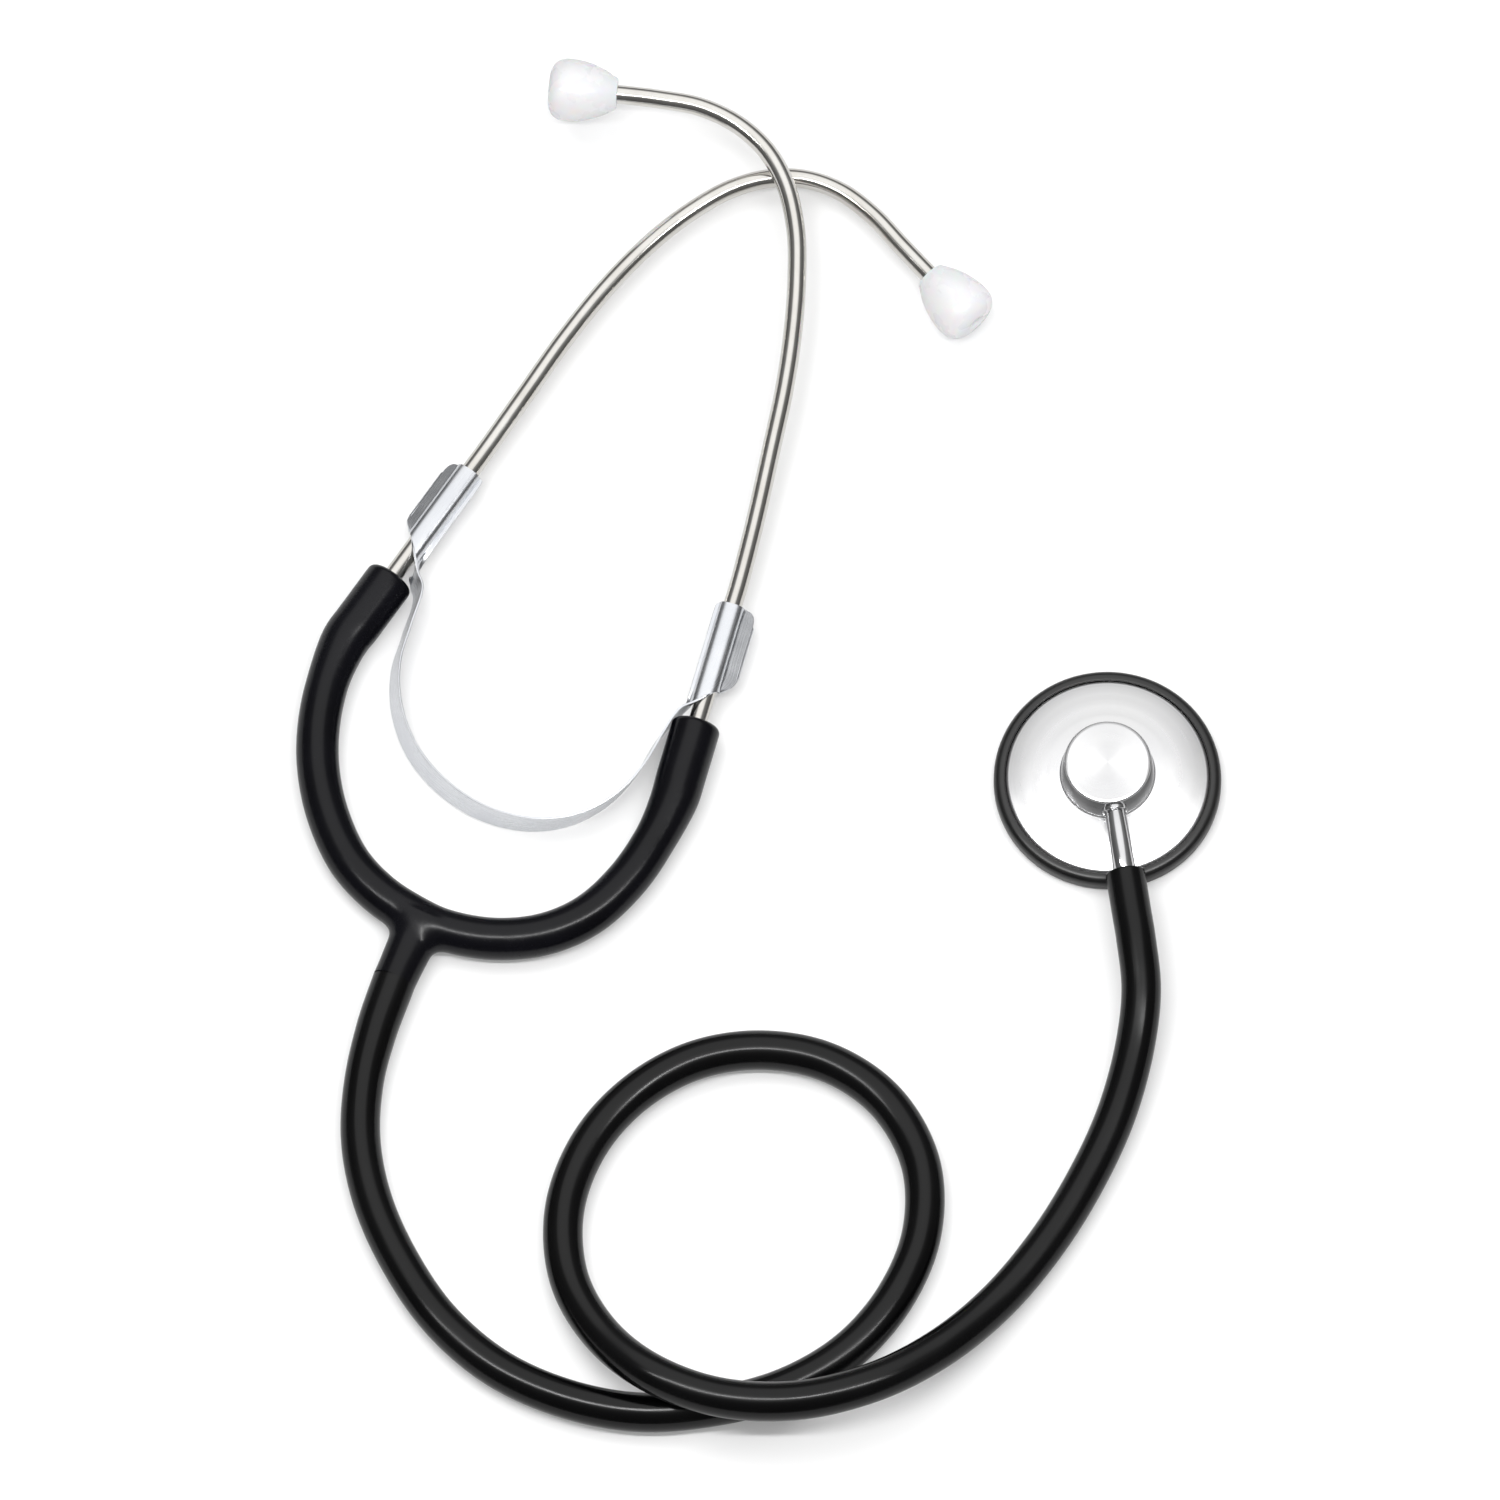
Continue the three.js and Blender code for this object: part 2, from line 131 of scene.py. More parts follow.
class Line:
    """A curve measured by the distance along it, going on straight past both ends."""

    def __init__(self, points, upright=(0, 0, 1), steps=60):
        self.points = catmull_rom(points, [steps] * (len(points) - 1))
        self.stations = np.append(0, np.cumsum(np.linalg.norm(np.diff(self.points, axis=0), axis=1)))
        self.length = self.stations[-1]
        self.tangents = unit(np.gradient(self.points, self.stations, axis=0))
        self.upright = np.array(upright, float)

    def frames(self, distances):
        """Centres, directions, sideways and upward vectors at these distances."""
        distances = np.atleast_1d(np.array(distances, float))
        inside = np.clip(distances, 0, self.length)
        centre = np.stack([np.interp(inside, self.stations, self.points[:, k]) for k in range(3)], axis=1)
        tangent = np.stack([np.interp(inside, self.stations, self.tangents[:, k]) for k in range(3)], axis=1)
        tangent = unit(tangent)
        centre = centre + (distances - inside)[:, None] * tangent
        sideways = unit(np.cross(tangent, self.upright))
        return centre, tangent, sideways, np.cross(sideways, tangent)

    def nearest(self, points):
        """For each point: the distance along the line beside it, and its offsets sideways and upwards."""
        stations = np.arange(0, self.length, 0.5 * MM)
        centre, tangent, _, _ = self.frames(stations)
        picked = np.concatenate([
            np.argmin(((part[:, None, :] - centre[None]) ** 2).sum(axis=2), axis=1)
            for part in np.array_split(points, max(1, len(points) // 4000))
        ])
        beside = stations[picked] + ((points - centre[picked]) * tangent[picked]).sum(axis=1)
        centre, _, sideways, upward = self.frames(beside)
        offset = points - centre
        return beside, (offset * sideways).sum(axis=1), (offset * upward).sum(axis=1)


def heading(degrees, rise=0):
    """Unit vector at this angle from +X in plan, rising by this much per unit."""
    turn = math.radians(degrees)
    return unit(np.array([math.cos(turn), math.sin(turn), rise]))


# ---------- Meshes ----------


def finish_mesh(mesh, sharp_angle=38):
    """Merges doubled points, turns every face outward and smooths all but the real edges."""
    cleaned = bmesh.new()
    cleaned.from_mesh(mesh)
    bmesh.ops.remove_doubles(cleaned, verts=cleaned.verts, dist=1e-7)
    bmesh.ops.dissolve_degenerate(cleaned, edges=cleaned.edges, dist=1e-8)
    bmesh.ops.recalc_face_normals(cleaned, faces=cleaned.faces)
    cleaned.to_mesh(mesh)
    cleaned.free()
    mesh.shade_smooth()
    mesh.set_sharp_from_angle(angle=math.radians(sharp_angle))
    return mesh


def add_object(name, mesh, material):
    mesh.materials.append(material)
    piece = bpy.data.objects.new(name, mesh)
    scene.collection.objects.link(piece)
    return piece


def skin_mesh(name, rings, lengths, closed_rows=False, capped=False):
    """A mesh over rings of points, each ring closed; lengths places the rings along the grain map."""
    rows, sides = rings.shape[:2]
    points = rings.reshape(-1, 3)
    last_row = rows if closed_rows else rows - 1
    row, side = np.meshgrid(np.arange(last_row), np.arange(sides), indexing="ij")
    row, side = row.ravel(), side.ravel()
    next_row, next_side = (row + 1) % rows, (side + 1) % sides
    faces = np.stack([
        row * sides + side, row * sides + next_side, next_row * sides + next_side, next_row * sides + side,
    ], axis=1)
    mesh = bpy.data.meshes.new(name)
    caps = [list(range(sides)), list(range((rows - 1) * sides, rows * sides))] if capped else []
    mesh.from_pydata(points.tolist(), [], faces.tolist() + caps)
    around = np.stack([side, side + 1, side + 1, side], axis=1) / sides
    reach = np.append(lengths, lengths[-1])
    along = np.stack([reach[row], reach[row], reach[row + 1], reach[row + 1]], axis=1)
    grain = np.stack([around, along], axis=2).reshape(-1)
    layer = mesh.uv_layers.new(name="grain")
    layer.data.foreach_set("uv", np.append(grain, np.zeros(2 * sides * len(caps))))
    return mesh


def swept_mesh(name, line, profile, sides, closed=False):
    """Turns a profile of (distance along the line, radius) pairs about the line."""
    profile = np.array(profile, float)
    centre, _, sideways, upward = line.frames(profile[:, 0])
    turns = 2 * math.pi * np.arange(sides) / sides - math.pi / 2
    spokes = (
        np.cos(turns)[None, :, None] * sideways[:, None] + np.sin(turns)[None, :, None] * upward[:, None]
    )
    rings = centre[:, None] + profile[:, 1, None, None] * spokes
    lengths = np.append(0, np.cumsum(np.linalg.norm(np.diff(profile, axis=0), axis=1)))
    return skin_mesh(name, rings, lengths, closed_rows=closed)


def rounded(corners, steps=6, closed=True):
    """An outline of (x, y, corner radius) triples, with each corner turned into an arc."""
    count = len(corners)
    outline = []
    for index, (x, y, radius) in enumerate(corners):
        corner = np.array([x, y], float)
        at_end = not closed and index in (0, count - 1)
        if radius == 0 or at_end:
            outline.append(corner)
            continue
        into = unit(corner - np.array(corners[index - 1][:2], float))
        out = unit(np.array(corners[(index + 1) % count][:2], float) - corner)
        turn = math.acos(float(np.clip(into @ out, -1, 1)))
        reach = radius * math.tan(turn / 2)
        start, end = corner - into * reach, corner + out * reach
        middle = corner + unit(out - into) * radius / math.cos(turn / 2)
        for step in range(steps + 1):
            share = step / steps
            from_start, from_end = math.sin((1 - share) * turn), math.sin(share * turn)
            spoke = unit((start - middle) * from_start + (end - middle) * from_end)
            outline.append(middle + spoke * radius)
    return outline


def bezier(start, lift, fall, end, steps=16):
    """Points of a cubic curve from start to end, its two handles in between."""
    t = np.linspace(0, 1, steps + 1)[:, None]
    start, lift, fall, end = (np.array(point, float) for point in (start, lift, fall, end))
    curve = (1 - t)**3 * start + 3 * t * (1 - t)**2 * lift + 3 * t**2 * (1 - t) * fall + t**3 * end
    return list(curve)


def stretch(start, end, step=0.8 * MM):
    """Distances from start to end, about one step apart."""
    return np.linspace(start, end, max(2, round(abs(end - start) / step)))


# ---------- Materials ----------


class Finish:
    """A procedural material under construction."""

    def __init__(self, name, colour, roughness, metallic=0, **sockets):
        self.material = bpy.data.materials.new(name)
        self.material.use_nodes = True
        self.tree = self.material.node_tree
        self.shader = self.tree.nodes["Principled BSDF"]
        self.set(self.shader, Metallic=metallic, Roughness=roughness, **sockets)
        self.shader.inputs["Base Color"].default_value = (*colour, 1)

    def set(self, node, **inputs):
        for key, value in inputs.items():
            socket = node.inputs[key.replace("_", " ")]
            if isinstance(value, bpy.types.NodeSocket):
                self.tree.links.new(value, socket)
            else:
                socket.default_value = value
        return node

    def add(self, kind, **inputs):
        return self.set(self.tree.nodes.new("ShaderNode" + kind), **inputs)

    def place(self, stretched=(1, 1, 1), grain=False):
        """Coordinates in metres: the piece's own, or its grain map, whose second axis runs along it."""
        if grain:
            source = self.add("UVMap")
            source.uv_map = "grain"
            output = source.outputs["UV"]
        else:
            output = self.add("TexCoord").outputs["Object"]
        return self.add("Mapping", Vector=output, Scale=stretched).outputs["Vector"]

    def noise(self, vector, scale, detail=3, roughness=0.55):
        node = self.add("TexNoise", Vector=vector, Scale=scale, Detail=detail, Roughness=roughness)
        return node.outputs["Fac"]

    def ramp(self, value, *stops):
        """Colours by value: each stop is (value, grey or colour)."""
        node = self.add("ValToRGB", Fac=value)
        elements = node.color_ramp.elements
        while len(elements) < len(stops):
            elements.new(0.5)
        for element, (position, colour) in zip(elements, stops):
            element.position = position
            element.color = (*colour, 1) if isinstance(colour, tuple) else (colour, colour, colour, 1)
        return node.outputs["Color"]

    def ranged(self, value, low, high, start=0.3, end=0.7):
        node = self.add("MapRange", Value=value)
        for index, number in enumerate((start, end, low, high), start=1):
            node.inputs[index].default_value = number
        return node.outputs["Result"]

    def combine(self, first, second, operation="ADD"):
        node = self.add("Math")
        node.operation = operation
        for socket, value in zip(node.inputs, (first, second)):
            if isinstance(value, bpy.types.NodeSocket):
                self.tree.links.new(value, socket)
            else:
                socket.default_value = value
        return node.outputs["Value"]

    def colour_by(self, value, *stops):
        self.set(self.shader, Base_Color=self.ramp(value, *stops))

    def rough_by(self, value):
        self.set(self.shader, Roughness=value)

    def bump(self, height, depth, strength=1.0):
        """Relief of this depth in metres, on top of any relief already there."""
        normal = self.shader.inputs["Normal"]
        node = self.add("Bump", Height=height, Distance=depth, Strength=strength)
        if normal.is_linked:
            self.set(node, Normal=normal.links[0].from_socket)
        self.set(self.shader, Normal=node.outputs["Normal"])


def moulded_vinyl():
    """Satin black PVC of the yoke: faint blue cast, flow mottling, fine peel and rubbed spots."""
    look = Finish("yoke vinyl", (0.004, 0.004, 0.006), 0.24, IOR=1.38)
    wide = look.noise(look.place(), 55, detail=4)
    look.colour_by(wide, (0.3, (0.0025, 0.0025, 0.004)), (0.7, (0.005, 0.005, 0.0085)))
    fine = look.noise(look.place(), 900, detail=4)
    look.rough_by(look.combine(look.ranged(wide, 0.18, 0.27), look.ranged(fine, -0.03, 0.05)))
    look.bump(fine, 0.007 * MM)
    look.bump(look.noise(look.place(), 5200, detail=2), 0.003 * MM)
    return look.material


def extruded_vinyl():
    """Glossy black hose: lengthwise die lines, a trace of dust and dull handling marks."""
    look = Finish("hose vinyl", (0.002, 0.002, 0.0022), 0.2, IOR=1.41)
    lines = look.noise(look.place((46, 22, 1), grain=True), 1.0, detail=3)
    handled = look.noise(look.place(), 38, detail=5)
    look.colour_by(handled, (0.35, (0.0014, 0.0014, 0.0016)), (0.72, (0.0034, 0.0034, 0.0038)))
    look.rough_by(look.combine(look.ranged(handled, 0.14, 0.26), look.ranged(lines, -0.02, 0.03)))
    look.bump(lines, 0.012 * MM)
    look.bump(look.noise(look.place(), 1500, detail=3), 0.004 * MM)
    return look.material


def drawn_nickel():
    """Bright nickel plate on drawn tube: warm, with hair lines along it and cloudy spots."""
    look = Finish("nickel tube", (0.8, 0.78, 0.74), 0.13, metallic=1, Anisotropic=0.25)
    lines = look.noise(look.place((60, 30, 1), grain=True), 1.0, detail=4)
    clouds = look.noise(look.place(), 120, detail=4)
    look.colour_by(clouds, (0.3, (0.76, 0.735, 0.69)), (0.7, (0.86, 0.845, 0.81)))
    look.rough_by(look.combine(look.ranged(clouds, 0.09, 0.17), look.ranged(lines, -0.02, 0.05)))
    look.bump(lines, 0.006 * MM)
    return look.material


def rolled_steel():
    """Plated spring strip: bluish grey, rolled grain along the strip, brighter rubbed patches."""
    look = Finish("spring steel", (0.82, 0.84, 0.87), 0.27, metallic=1, Anisotropic=0.35)
    grain = look.noise(look.place((150, 45, 1), grain=True), 1.0, detail=5)
    patches = look.noise(look.place(), 90, detail=4)
    look.colour_by(patches, (0.3, (0.77, 0.79, 0.83)), (0.7, (0.87, 0.885, 0.91)))
    look.rough_by(look.combine(look.ranged(patches, 0.2, 0.3), look.ranged(grain, -0.04, 0.08)))
    look.bump(grain, 0.008 * MM)
    return look.material


def white_plastic():
    """Hard, slightly translucent white of the ear tips."""
    look = Finish(
        "white tip", (0.90, 0.905, 0.93), 0.28,
        Subsurface_Weight=0.35, Subsurface_Scale=0.003, Coat_Weight=0.3, Coat_Roughness=0.12,
    )
    clouds = look.noise(look.place(), 160, detail=3)
    look.colour_by(clouds, (0.3, (0.87, 0.88, 0.91)), (0.7, (0.93, 0.935, 0.95)))
    look.rough_by(look.ranged(clouds, 0.22, 0.34))
    look.bump(look.noise(look.place(), 1400, detail=3), 0.004 * MM)
    return look.material


def turned_metal():
    """Aluminium with the lathe's concentric grooves, bright where rubbed."""
    look = Finish("turned aluminium", (0.88, 0.88, 0.885), 0.3, metallic=1, Anisotropic=0.55)
    tangent = look.add("Tangent")
    tangent.direction_type = "RADIAL"
    tangent.axis = "Z"
    look.set(look.shader, Tangent=tangent.outputs["Tangent"])
    distance = look.add("VectorMath", Vector=look.place((1, 1, 0)))
    distance.operation = "LENGTH"
    radius = distance.outputs["Value"]
    spread = look.add("CombineXYZ", X=radius)
    grooves = look.noise(spread.outputs["Vector"], 2900, detail=4, roughness=0.7)
    rings = look.noise(spread.outputs["Vector"], 430, detail=3)
    clouds = look.noise(look.place(), 85, detail=4)
    look.colour_by(clouds, (0.3, (0.83, 0.83, 0.84)), (0.7, (0.92, 0.92, 0.92)))
    look.rough_by(look.combine(look.ranged(rings, 0.24, 0.36), look.ranged(clouds, -0.03, 0.04)))
    look.bump(grooves, 0.006 * MM)
    return look.material


def polished_metal(name, colour, painted_edge_shade_keep=1):
    """Mirror polish with faint hair lines and a breath of haze; its last argument is how much of the
    colour is left where the wall turns away from view, as painted shade darkening its edges."""
    look = Finish(name, colour, 0.07, metallic=1)
    haze = look.noise(look.place(), 140, detail=4)
    dark = tuple(channel * 0.93 for channel in colour)
    facing = look.add("LayerWeight", Blend=0.5).outputs["Facing"]
    # painted shade: the colour is darkened towards the silhouette, where the wall turns away from view
    turned = look.ranged(facing, 1, painted_edge_shade_keep, start=0.6, end=0.86)
    shaded = look.add("VectorMath")
    shaded.operation = "MULTIPLY"
    look.tree.links.new(look.ramp(haze, (0.3, dark), (0.7, colour)), shaded.inputs[0])
    look.tree.links.new(turned, shaded.inputs[1])
    look.set(look.shader, Base_Color=shaded.outputs["Vector"])
    scratches = look.noise(look.place((1, 1, 9)), 900, detail=4)
    look.rough_by(look.combine(look.ranged(haze, 0.045, 0.1), look.ranged(scratches, 0, 0.04)))
    look.bump(scratches, 0.002 * MM)
    return look.material


def ring_plastic():
    """Satin black of the retaining ring, with turning marks round it and edges rubbed smoother."""
    look = Finish("black ring", (0.006, 0.006, 0.006), 0.33, IOR=1.68)
    marks = look.noise(look.place((3, 150, 1), grain=True), 1.0, detail=4)
    rubbed = look.noise(look.place(), 110, detail=5)
    look.colour_by(rubbed, (0.3, (0.004, 0.004, 0.004)), (0.72, (0.010, 0.010, 0.010)))
    look.rough_by(look.combine(look.ranged(rubbed, 0.26, 0.38), look.ranged(marks, -0.03, 0.04)))
    look.bump(look.noise(look.place(), 2600, detail=3), 0.005 * MM)
    return look.material


def printed_film():
    """Milky epoxy-glass film of the diaphragm, with a faint woven grain under its gloss."""
    look = Finish("diaphragm film", (0.70, 0.70, 0.67), 0.3, Coat_Weight=0.4, Coat_Roughness=0.15)
    weave = look.add("TexWave", Vector=look.place(), Scale=450, Distortion=0.4, Detail=2)
    clouds = look.noise(look.place(), 130, detail=4)
    look.colour_by(clouds, (0.3, (0.64, 0.64, 0.60)), (0.7, (0.74, 0.74, 0.71)))
    look.rough_by(look.ranged(clouds, 0.24, 0.38))
    look.bump(weave.outputs["Fac"], 0.004 * MM)
    return look.material


# ---------- Camera ----------

LENS_LENGTH = 1200
SENSOR_WIDTH = 36
ELEVATION = math.radians(70)
FRAME_MARGIN = 1.037
AIM_SHIFT = -1.8 * MM
AIM_HEIGHT = 5 * MM


def add_camera():
    """Looks along +Y from 70 degrees up, with the whole length of the part just filling the frame."""
    camera = bpy.data.objects.new("camera", bpy.data.cameras.new("camera"))
    scene.collection.objects.link(camera)
    camera.data.lens = LENS_LENGTH
    camera.data.sensor_width = SENSOR_WIDTH
    frame_width = (cad_high.y - cad_low.y) * FRAME_MARGIN
    distance = frame_width * LENS_LENGTH / SENSOR_WIDTH
    middle = (cad_low + cad_high) / 2
    target = Vector((middle.x + AIM_SHIFT, middle.y, AIM_HEIGHT))
    back = Vector((0, -math.cos(ELEVATION), math.sin(ELEVATION)))
    camera.location = target + back * distance
    camera.rotation_euler = (-back).to_track_quat("-Z", "Y").to_euler()
    scene.camera = camera


add_camera()

# ---------- Chest piece: where it lies, and the way its stem points ----------

ring_low, ring_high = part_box("retaining_ring")
chest_x, chest_y = (ring_low.x + ring_high.x) / 2, (ring_low.y + ring_high.y) / 2
STEM_AXIS_HEIGHT = 10 * MM
STEM_HOSE_START = 23.2 * MM
STEM_TAIL = 33 * MM
stem_direction = heading(-81.3)
stem_origin = np.array([chest_x, chest_y, STEM_AXIS_HEIGHT])

# ---------- Hose: from the yoke's tail, one loop counter-clockwise, over itself, up to the stem ----------

HOSE_RADIUS = 4.1 * MM
HOSE_BORE = 2.8 * MM
HOSE_EDGE = 0.5 * MM
HOSE_SIDES = 48
TAIL_SWELL = 0.4 * MM
TAIL_SWELL_LENGTH = 25 * MM

HOSE_ROUTE = [
    (-0.0752, -0.0994, 0.0045), (-0.0788, -0.1101, 0.0044), (-0.0814, -0.1216, 0.0042),
    (-0.082, -0.1341, 0.0041), (-0.0796, -0.147, 0.0041), (-0.074, -0.1603, 0.0041),
    (-0.0655, -0.1733, 0.0041), (-0.0538, -0.1838, 0.0041), (-0.0395, -0.1905, 0.0041),
    (-0.0246, -0.1934, 0.0041), (-0.0091, -0.1921, 0.0041), (0.0054, -0.188, 0.0041),
    (0.0182, -0.1801, 0.0041), (0.0278, -0.1686, 0.0041), (0.0334, -0.1546, 0.0041),
    (0.0332, -0.1391, 0.0041), (0.026, -0.1255, 0.0041), (0.0142, -0.1171, 0.0041),
    (0.0004, -0.1144, 0.0041), (-0.0134, -0.1167, 0.0041), (-0.0256, -0.1239, 0.0041),
    (-0.0349, -0.1349, 0.0042), (-0.04, -0.1491, 0.0043), (-0.0392, -0.1641, 0.0049),
    (-0.0328, -0.1773, 0.008), (-0.0226, -0.1873, 0.0118), (-0.0086, -0.1931, 0.0129),
    (0.0074, -0.1939, 0.0129), (0.0229, -0.1899, 0.0123), (0.0364, -0.1817, 0.009),
    (0.0488, -0.1699, 0.0053), (0.0592, -0.1565, 0.0043), (0.0674, -0.1425, 0.0042),
    (0.0736, -0.1284, 0.0048), (0.0774, -0.1142, 0.0062), (0.0787, -0.1026, 0.0084),
]
hose_line = Line(HOSE_ROUTE + [
    tuple(stem_origin + stem_direction * reach)
    for reach in (STEM_TAIL + 5 * MM, STEM_TAIL - 1 * MM, STEM_HOSE_START)
])


def hose_radius(distance):
    """Nominal, swelling a little towards the yoke."""
    return HOSE_RADIUS + TAIL_SWELL * smooth_step(TAIL_SWELL_LENGTH - distance, 0, TAIL_SWELL_LENGTH)


def add_hose():
    """A hollow tube, its far end square with softened edges over the stem."""
    end = hose_line.length
    wall = [(s, hose_radius(s)) for s in stretch(0, end - HOSE_EDGE)]
    mouth = rounded([
        (end - 2 * HOSE_EDGE, HOSE_RADIUS, 0), (end, HOSE_RADIUS, HOSE_EDGE), (end, HOSE_BORE, HOSE_EDGE / 2),
        (end - 2 * HOSE_EDGE, HOSE_BORE, 0),
    ], closed=False)
    bore = [(s, HOSE_BORE) for s in stretch(end - 2 * HOSE_EDGE, 0)]
    mesh = swept_mesh("hose_tube", hose_line, wall[:-1] + mouth + bore[1:], HOSE_SIDES, closed=True)
    hose = add_object("hose_tube", finish_mesh(mesh), extruded_vinyl())
    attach(hose, "yoke")
    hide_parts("hose")


add_hose()

# ---------- Headset: where each arm of the yoke ends, and the way its ear tube leaves it ----------


class Side:
    """One side of the headset: its arm's end, its tube's axis there, and its clip's start along the
    axis, the reach of the clip's two flanges and the outer one's droop."""

    def __init__(self, name, arm_end, angle, rise, outward, clip_start, flange_outer, flange_inner, droop):
        self.name = name
        self.droop = droop
        self.flange_outer, self.flange_inner = flange_outer, flange_inner
        self.body = name + "_binaural"
        self.arm_end = np.array(arm_end)
        self.axis = heading(angle, rise)
        self.outward = unit(np.cross(self.axis, (0, 0, 1))) * outward
        self.upward = unit(np.array((0, 0, 1)) - self.axis * self.axis[2])
        self.clip_start = clip_start

    def along(self, distance):
        return tuple(self.arm_end + self.axis * distance)

    def clip_point(self, along, outward, upward):
        """A point given from the clip's lower end: along the tube, away from the band, and up."""
        middle = self.arm_end + self.axis * (self.clip_start + along)
        return middle + self.outward * outward + self.upward * upward


CLIP_LENGTH = 20 * MM
left = Side(
    "left", (-0.0759, -0.011, 0.0051), angle=55.2, rise=0.012, outward=-1,
    clip_start=8 * MM, flange_outer=4.6 * MM, flange_inner=-3.4 * MM, droop=0.42,
)
right = Side(
    "right", (-0.0128, -0.0433, 0.0055), angle=74, rise=0.038, outward=1,
    clip_start=6.3 * MM, flange_outer=5.1 * MM, flange_inner=-3.3 * MM, droop=0.33,
)

# ---------- Yoke ----------

YOKE_SLIM = 4.4 * MM
YOKE_THICK = 5.1 * MM
YOKE_BORE = 2.05 * MM
YOKE_END_EDGE = 1.3 * MM
YOKE_SIDES = 64
SOCKET_DEPTH = 17 * MM
SOCKET_STRAIGHT = 12 * MM
FLARE_START = 13 * MM
FLARE_END = 28 * MM
ARM_START = 75.9 * MM
JUNCTION_START = 76.5 * MM
JUNCTION_END = 101 * MM
BRANCH_POINT = (-0.0695, -0.0861, 0.0045)
TAIL_END = (-0.0752, -0.0994, 0.0045)
TAIL_ROOT_WIDTH = 5 * MM
TAIL_START_REACH = 1 * MM
FILLET = 2.6 * MM
FLOOR_CLEARANCE = 0.1 * MM
VOXEL = 0.5 * MM

yoke_line = Line([
    left.along(0), left.along(-SOCKET_STRAIGHT), left.along(-SOCKET_DEPTH),
    (-0.0892, -0.0345, 0.0049), (-0.091, -0.0446, 0.0047), (-0.0909, -0.0536, 0.0045),
    (-0.0888, -0.0636, 0.0045), (-0.0844, -0.0734, 0.0045), (-0.0782, -0.0804, 0.0045),
    (-0.0716, -0.085, 0.0045), (-0.0651, -0.0882, 0.0045), (-0.0546, -0.0902, 0.0045),
    (-0.0441, -0.0891, 0.0045), (-0.0351, -0.0849, 0.0045), (-0.0271, -0.0771, 0.0046),
    (-0.0212, -0.0679, 0.0048),
    right.along(-SOCKET_DEPTH), right.along(-SOCKET_STRAIGHT), right.along(0),
])
tail_line = Line([BRANCH_POINT, TAIL_END])


def yoke_radius(distance):
    """Slim along the arm, thick over the socket at each end."""
    from_end = np.minimum(distance, yoke_line.length - distance)
    return YOKE_THICK + (YOKE_SLIM - YOKE_THICK) * smooth_step(from_end, FLARE_START, FLARE_END)


def yoke_height(points):
    """Height of points over the yoke's skin near its junction; below zero inside."""
    beside, sideways, upward = yoke_line.nearest(points)
    arms = np.hypot(sideways, upward) - yoke_radius(beside)
    down, across, over = tail_line.nearest(points)
    narrowing = smooth_step(down, 0, tail_line.length)
    half_width = TAIL_ROOT_WIDTH + (hose_radius(0) - TAIL_ROOT_WIDTH) * narrowing
    half_height = YOKE_SLIM - 0.3 * MM + (hose_radius(0) - YOKE_SLIM + 0.3 * MM) * narrowing
    behind = np.minimum(down, 0) / TAIL_START_REACH
    tail = np.sqrt((across / half_width) ** 2 + (over / half_height) ** 2 + behind ** 2) - 1
    skin = smooth_min(arms, tail * half_height, FILLET)
    return -smooth_min(-skin, points[:, 2] - FLOOR_CLEARANCE, 0.6 * MM)


def skin_slope(points):
    """Which way, and how fast, the height over the skin grows."""
    probe = 0.02 * MM
    return np.stack([
        (yoke_height(points + probe * step) - yoke_height(points - probe * step)) / (2 * probe)
        for step in np.eye(3)
    ], axis=1)


def settle_on_skin(points, edges, rounds=10):
    """Evens the points out, then moves each along the skin's slope until it lies on the skin."""
    neighbours = np.bincount(edges.ravel(), minlength=len(points))[:, None]
    for turn in range(rounds):
        if turn < 5:
            total = np.zeros_like(points)
            np.add.at(total, edges[:, 0], points[edges[:, 1]])
            np.add.at(total, edges[:, 1], points[edges[:, 0]])
            points = 0.5 * points + 0.5 * total / neighbours
        slope = skin_slope(points)
        steepness = np.clip((slope**2).sum(axis=1, keepdims=True), 0.2, None)
        move = yoke_height(points)[:, None] * slope / steepness
        points = points - np.clip(move, -0.8 * MM, 0.8 * MM)
    return points


def junction_mesh():
    """The middle of the yoke: both arms and the tail run into each other with moulded fillets."""
    past = 5 * MM
    arms = [(JUNCTION_START - past, 0), *[
        (s, yoke_radius(s)) for s in stretch(JUNCTION_START - past, JUNCTION_END + past, 2 * MM)
    ], (JUNCTION_END + past, 0)]
    tail = [(0, 0), (0, YOKE_SLIM), (tail_line.length / 2, YOKE_SLIM), (tail_line.length + past, YOKE_SLIM),
            (tail_line.length + past, 0)]
    joined = bmesh.new()
    for line, profile in ((yoke_line, arms), (tail_line, tail)):
        joined.from_mesh(finish_mesh(swept_mesh("rod", line, profile, 24)))
    rough = bpy.data.meshes.new("junction_rough")
    joined.to_mesh(rough)
    joined.free()
    block = bpy.data.objects.new("junction_rough", rough)
    scene.collection.objects.link(block)
    remesh = block.modifiers.new("even", "REMESH")
    remesh.mode = "VOXEL"
    remesh.voxel_size = VOXEL
    even = bpy.data.meshes.new_from_object(block.evaluated_get(bpy.context.evaluated_depsgraph_get()))
    bpy.data.objects.remove(block)
    points = np.array([vertex.co for vertex in even.vertices], float)
    edges = np.array([edge.vertices for edge in even.edges])
    points = settle_on_skin(points, edges)
    even.vertices.foreach_set("co", points.astype(np.float32).ravel())
    return even


def match_shading(mesh, cuts):
    """Takes the shading beside each (place, direction) cut from the skin itself, to hide the seam."""
    corners = np.array([mesh.vertices[loop.vertex_index].co for loop in mesh.loops], float)
    normals = np.array([corner.vector for corner in mesh.corner_normals], float)
    for place, direction in cuts:
        beside = np.abs((corners - place) @ direction) < 0.7 * MM
        beside &= np.abs(normals @ direction) < 0.7
        beside &= np.linalg.norm(corners - place, axis=1) < 2 * YOKE_SLIM
        normals[beside] = unit(skin_slope(corners[beside]))
    mesh.normals_split_custom_set(normals.tolist())


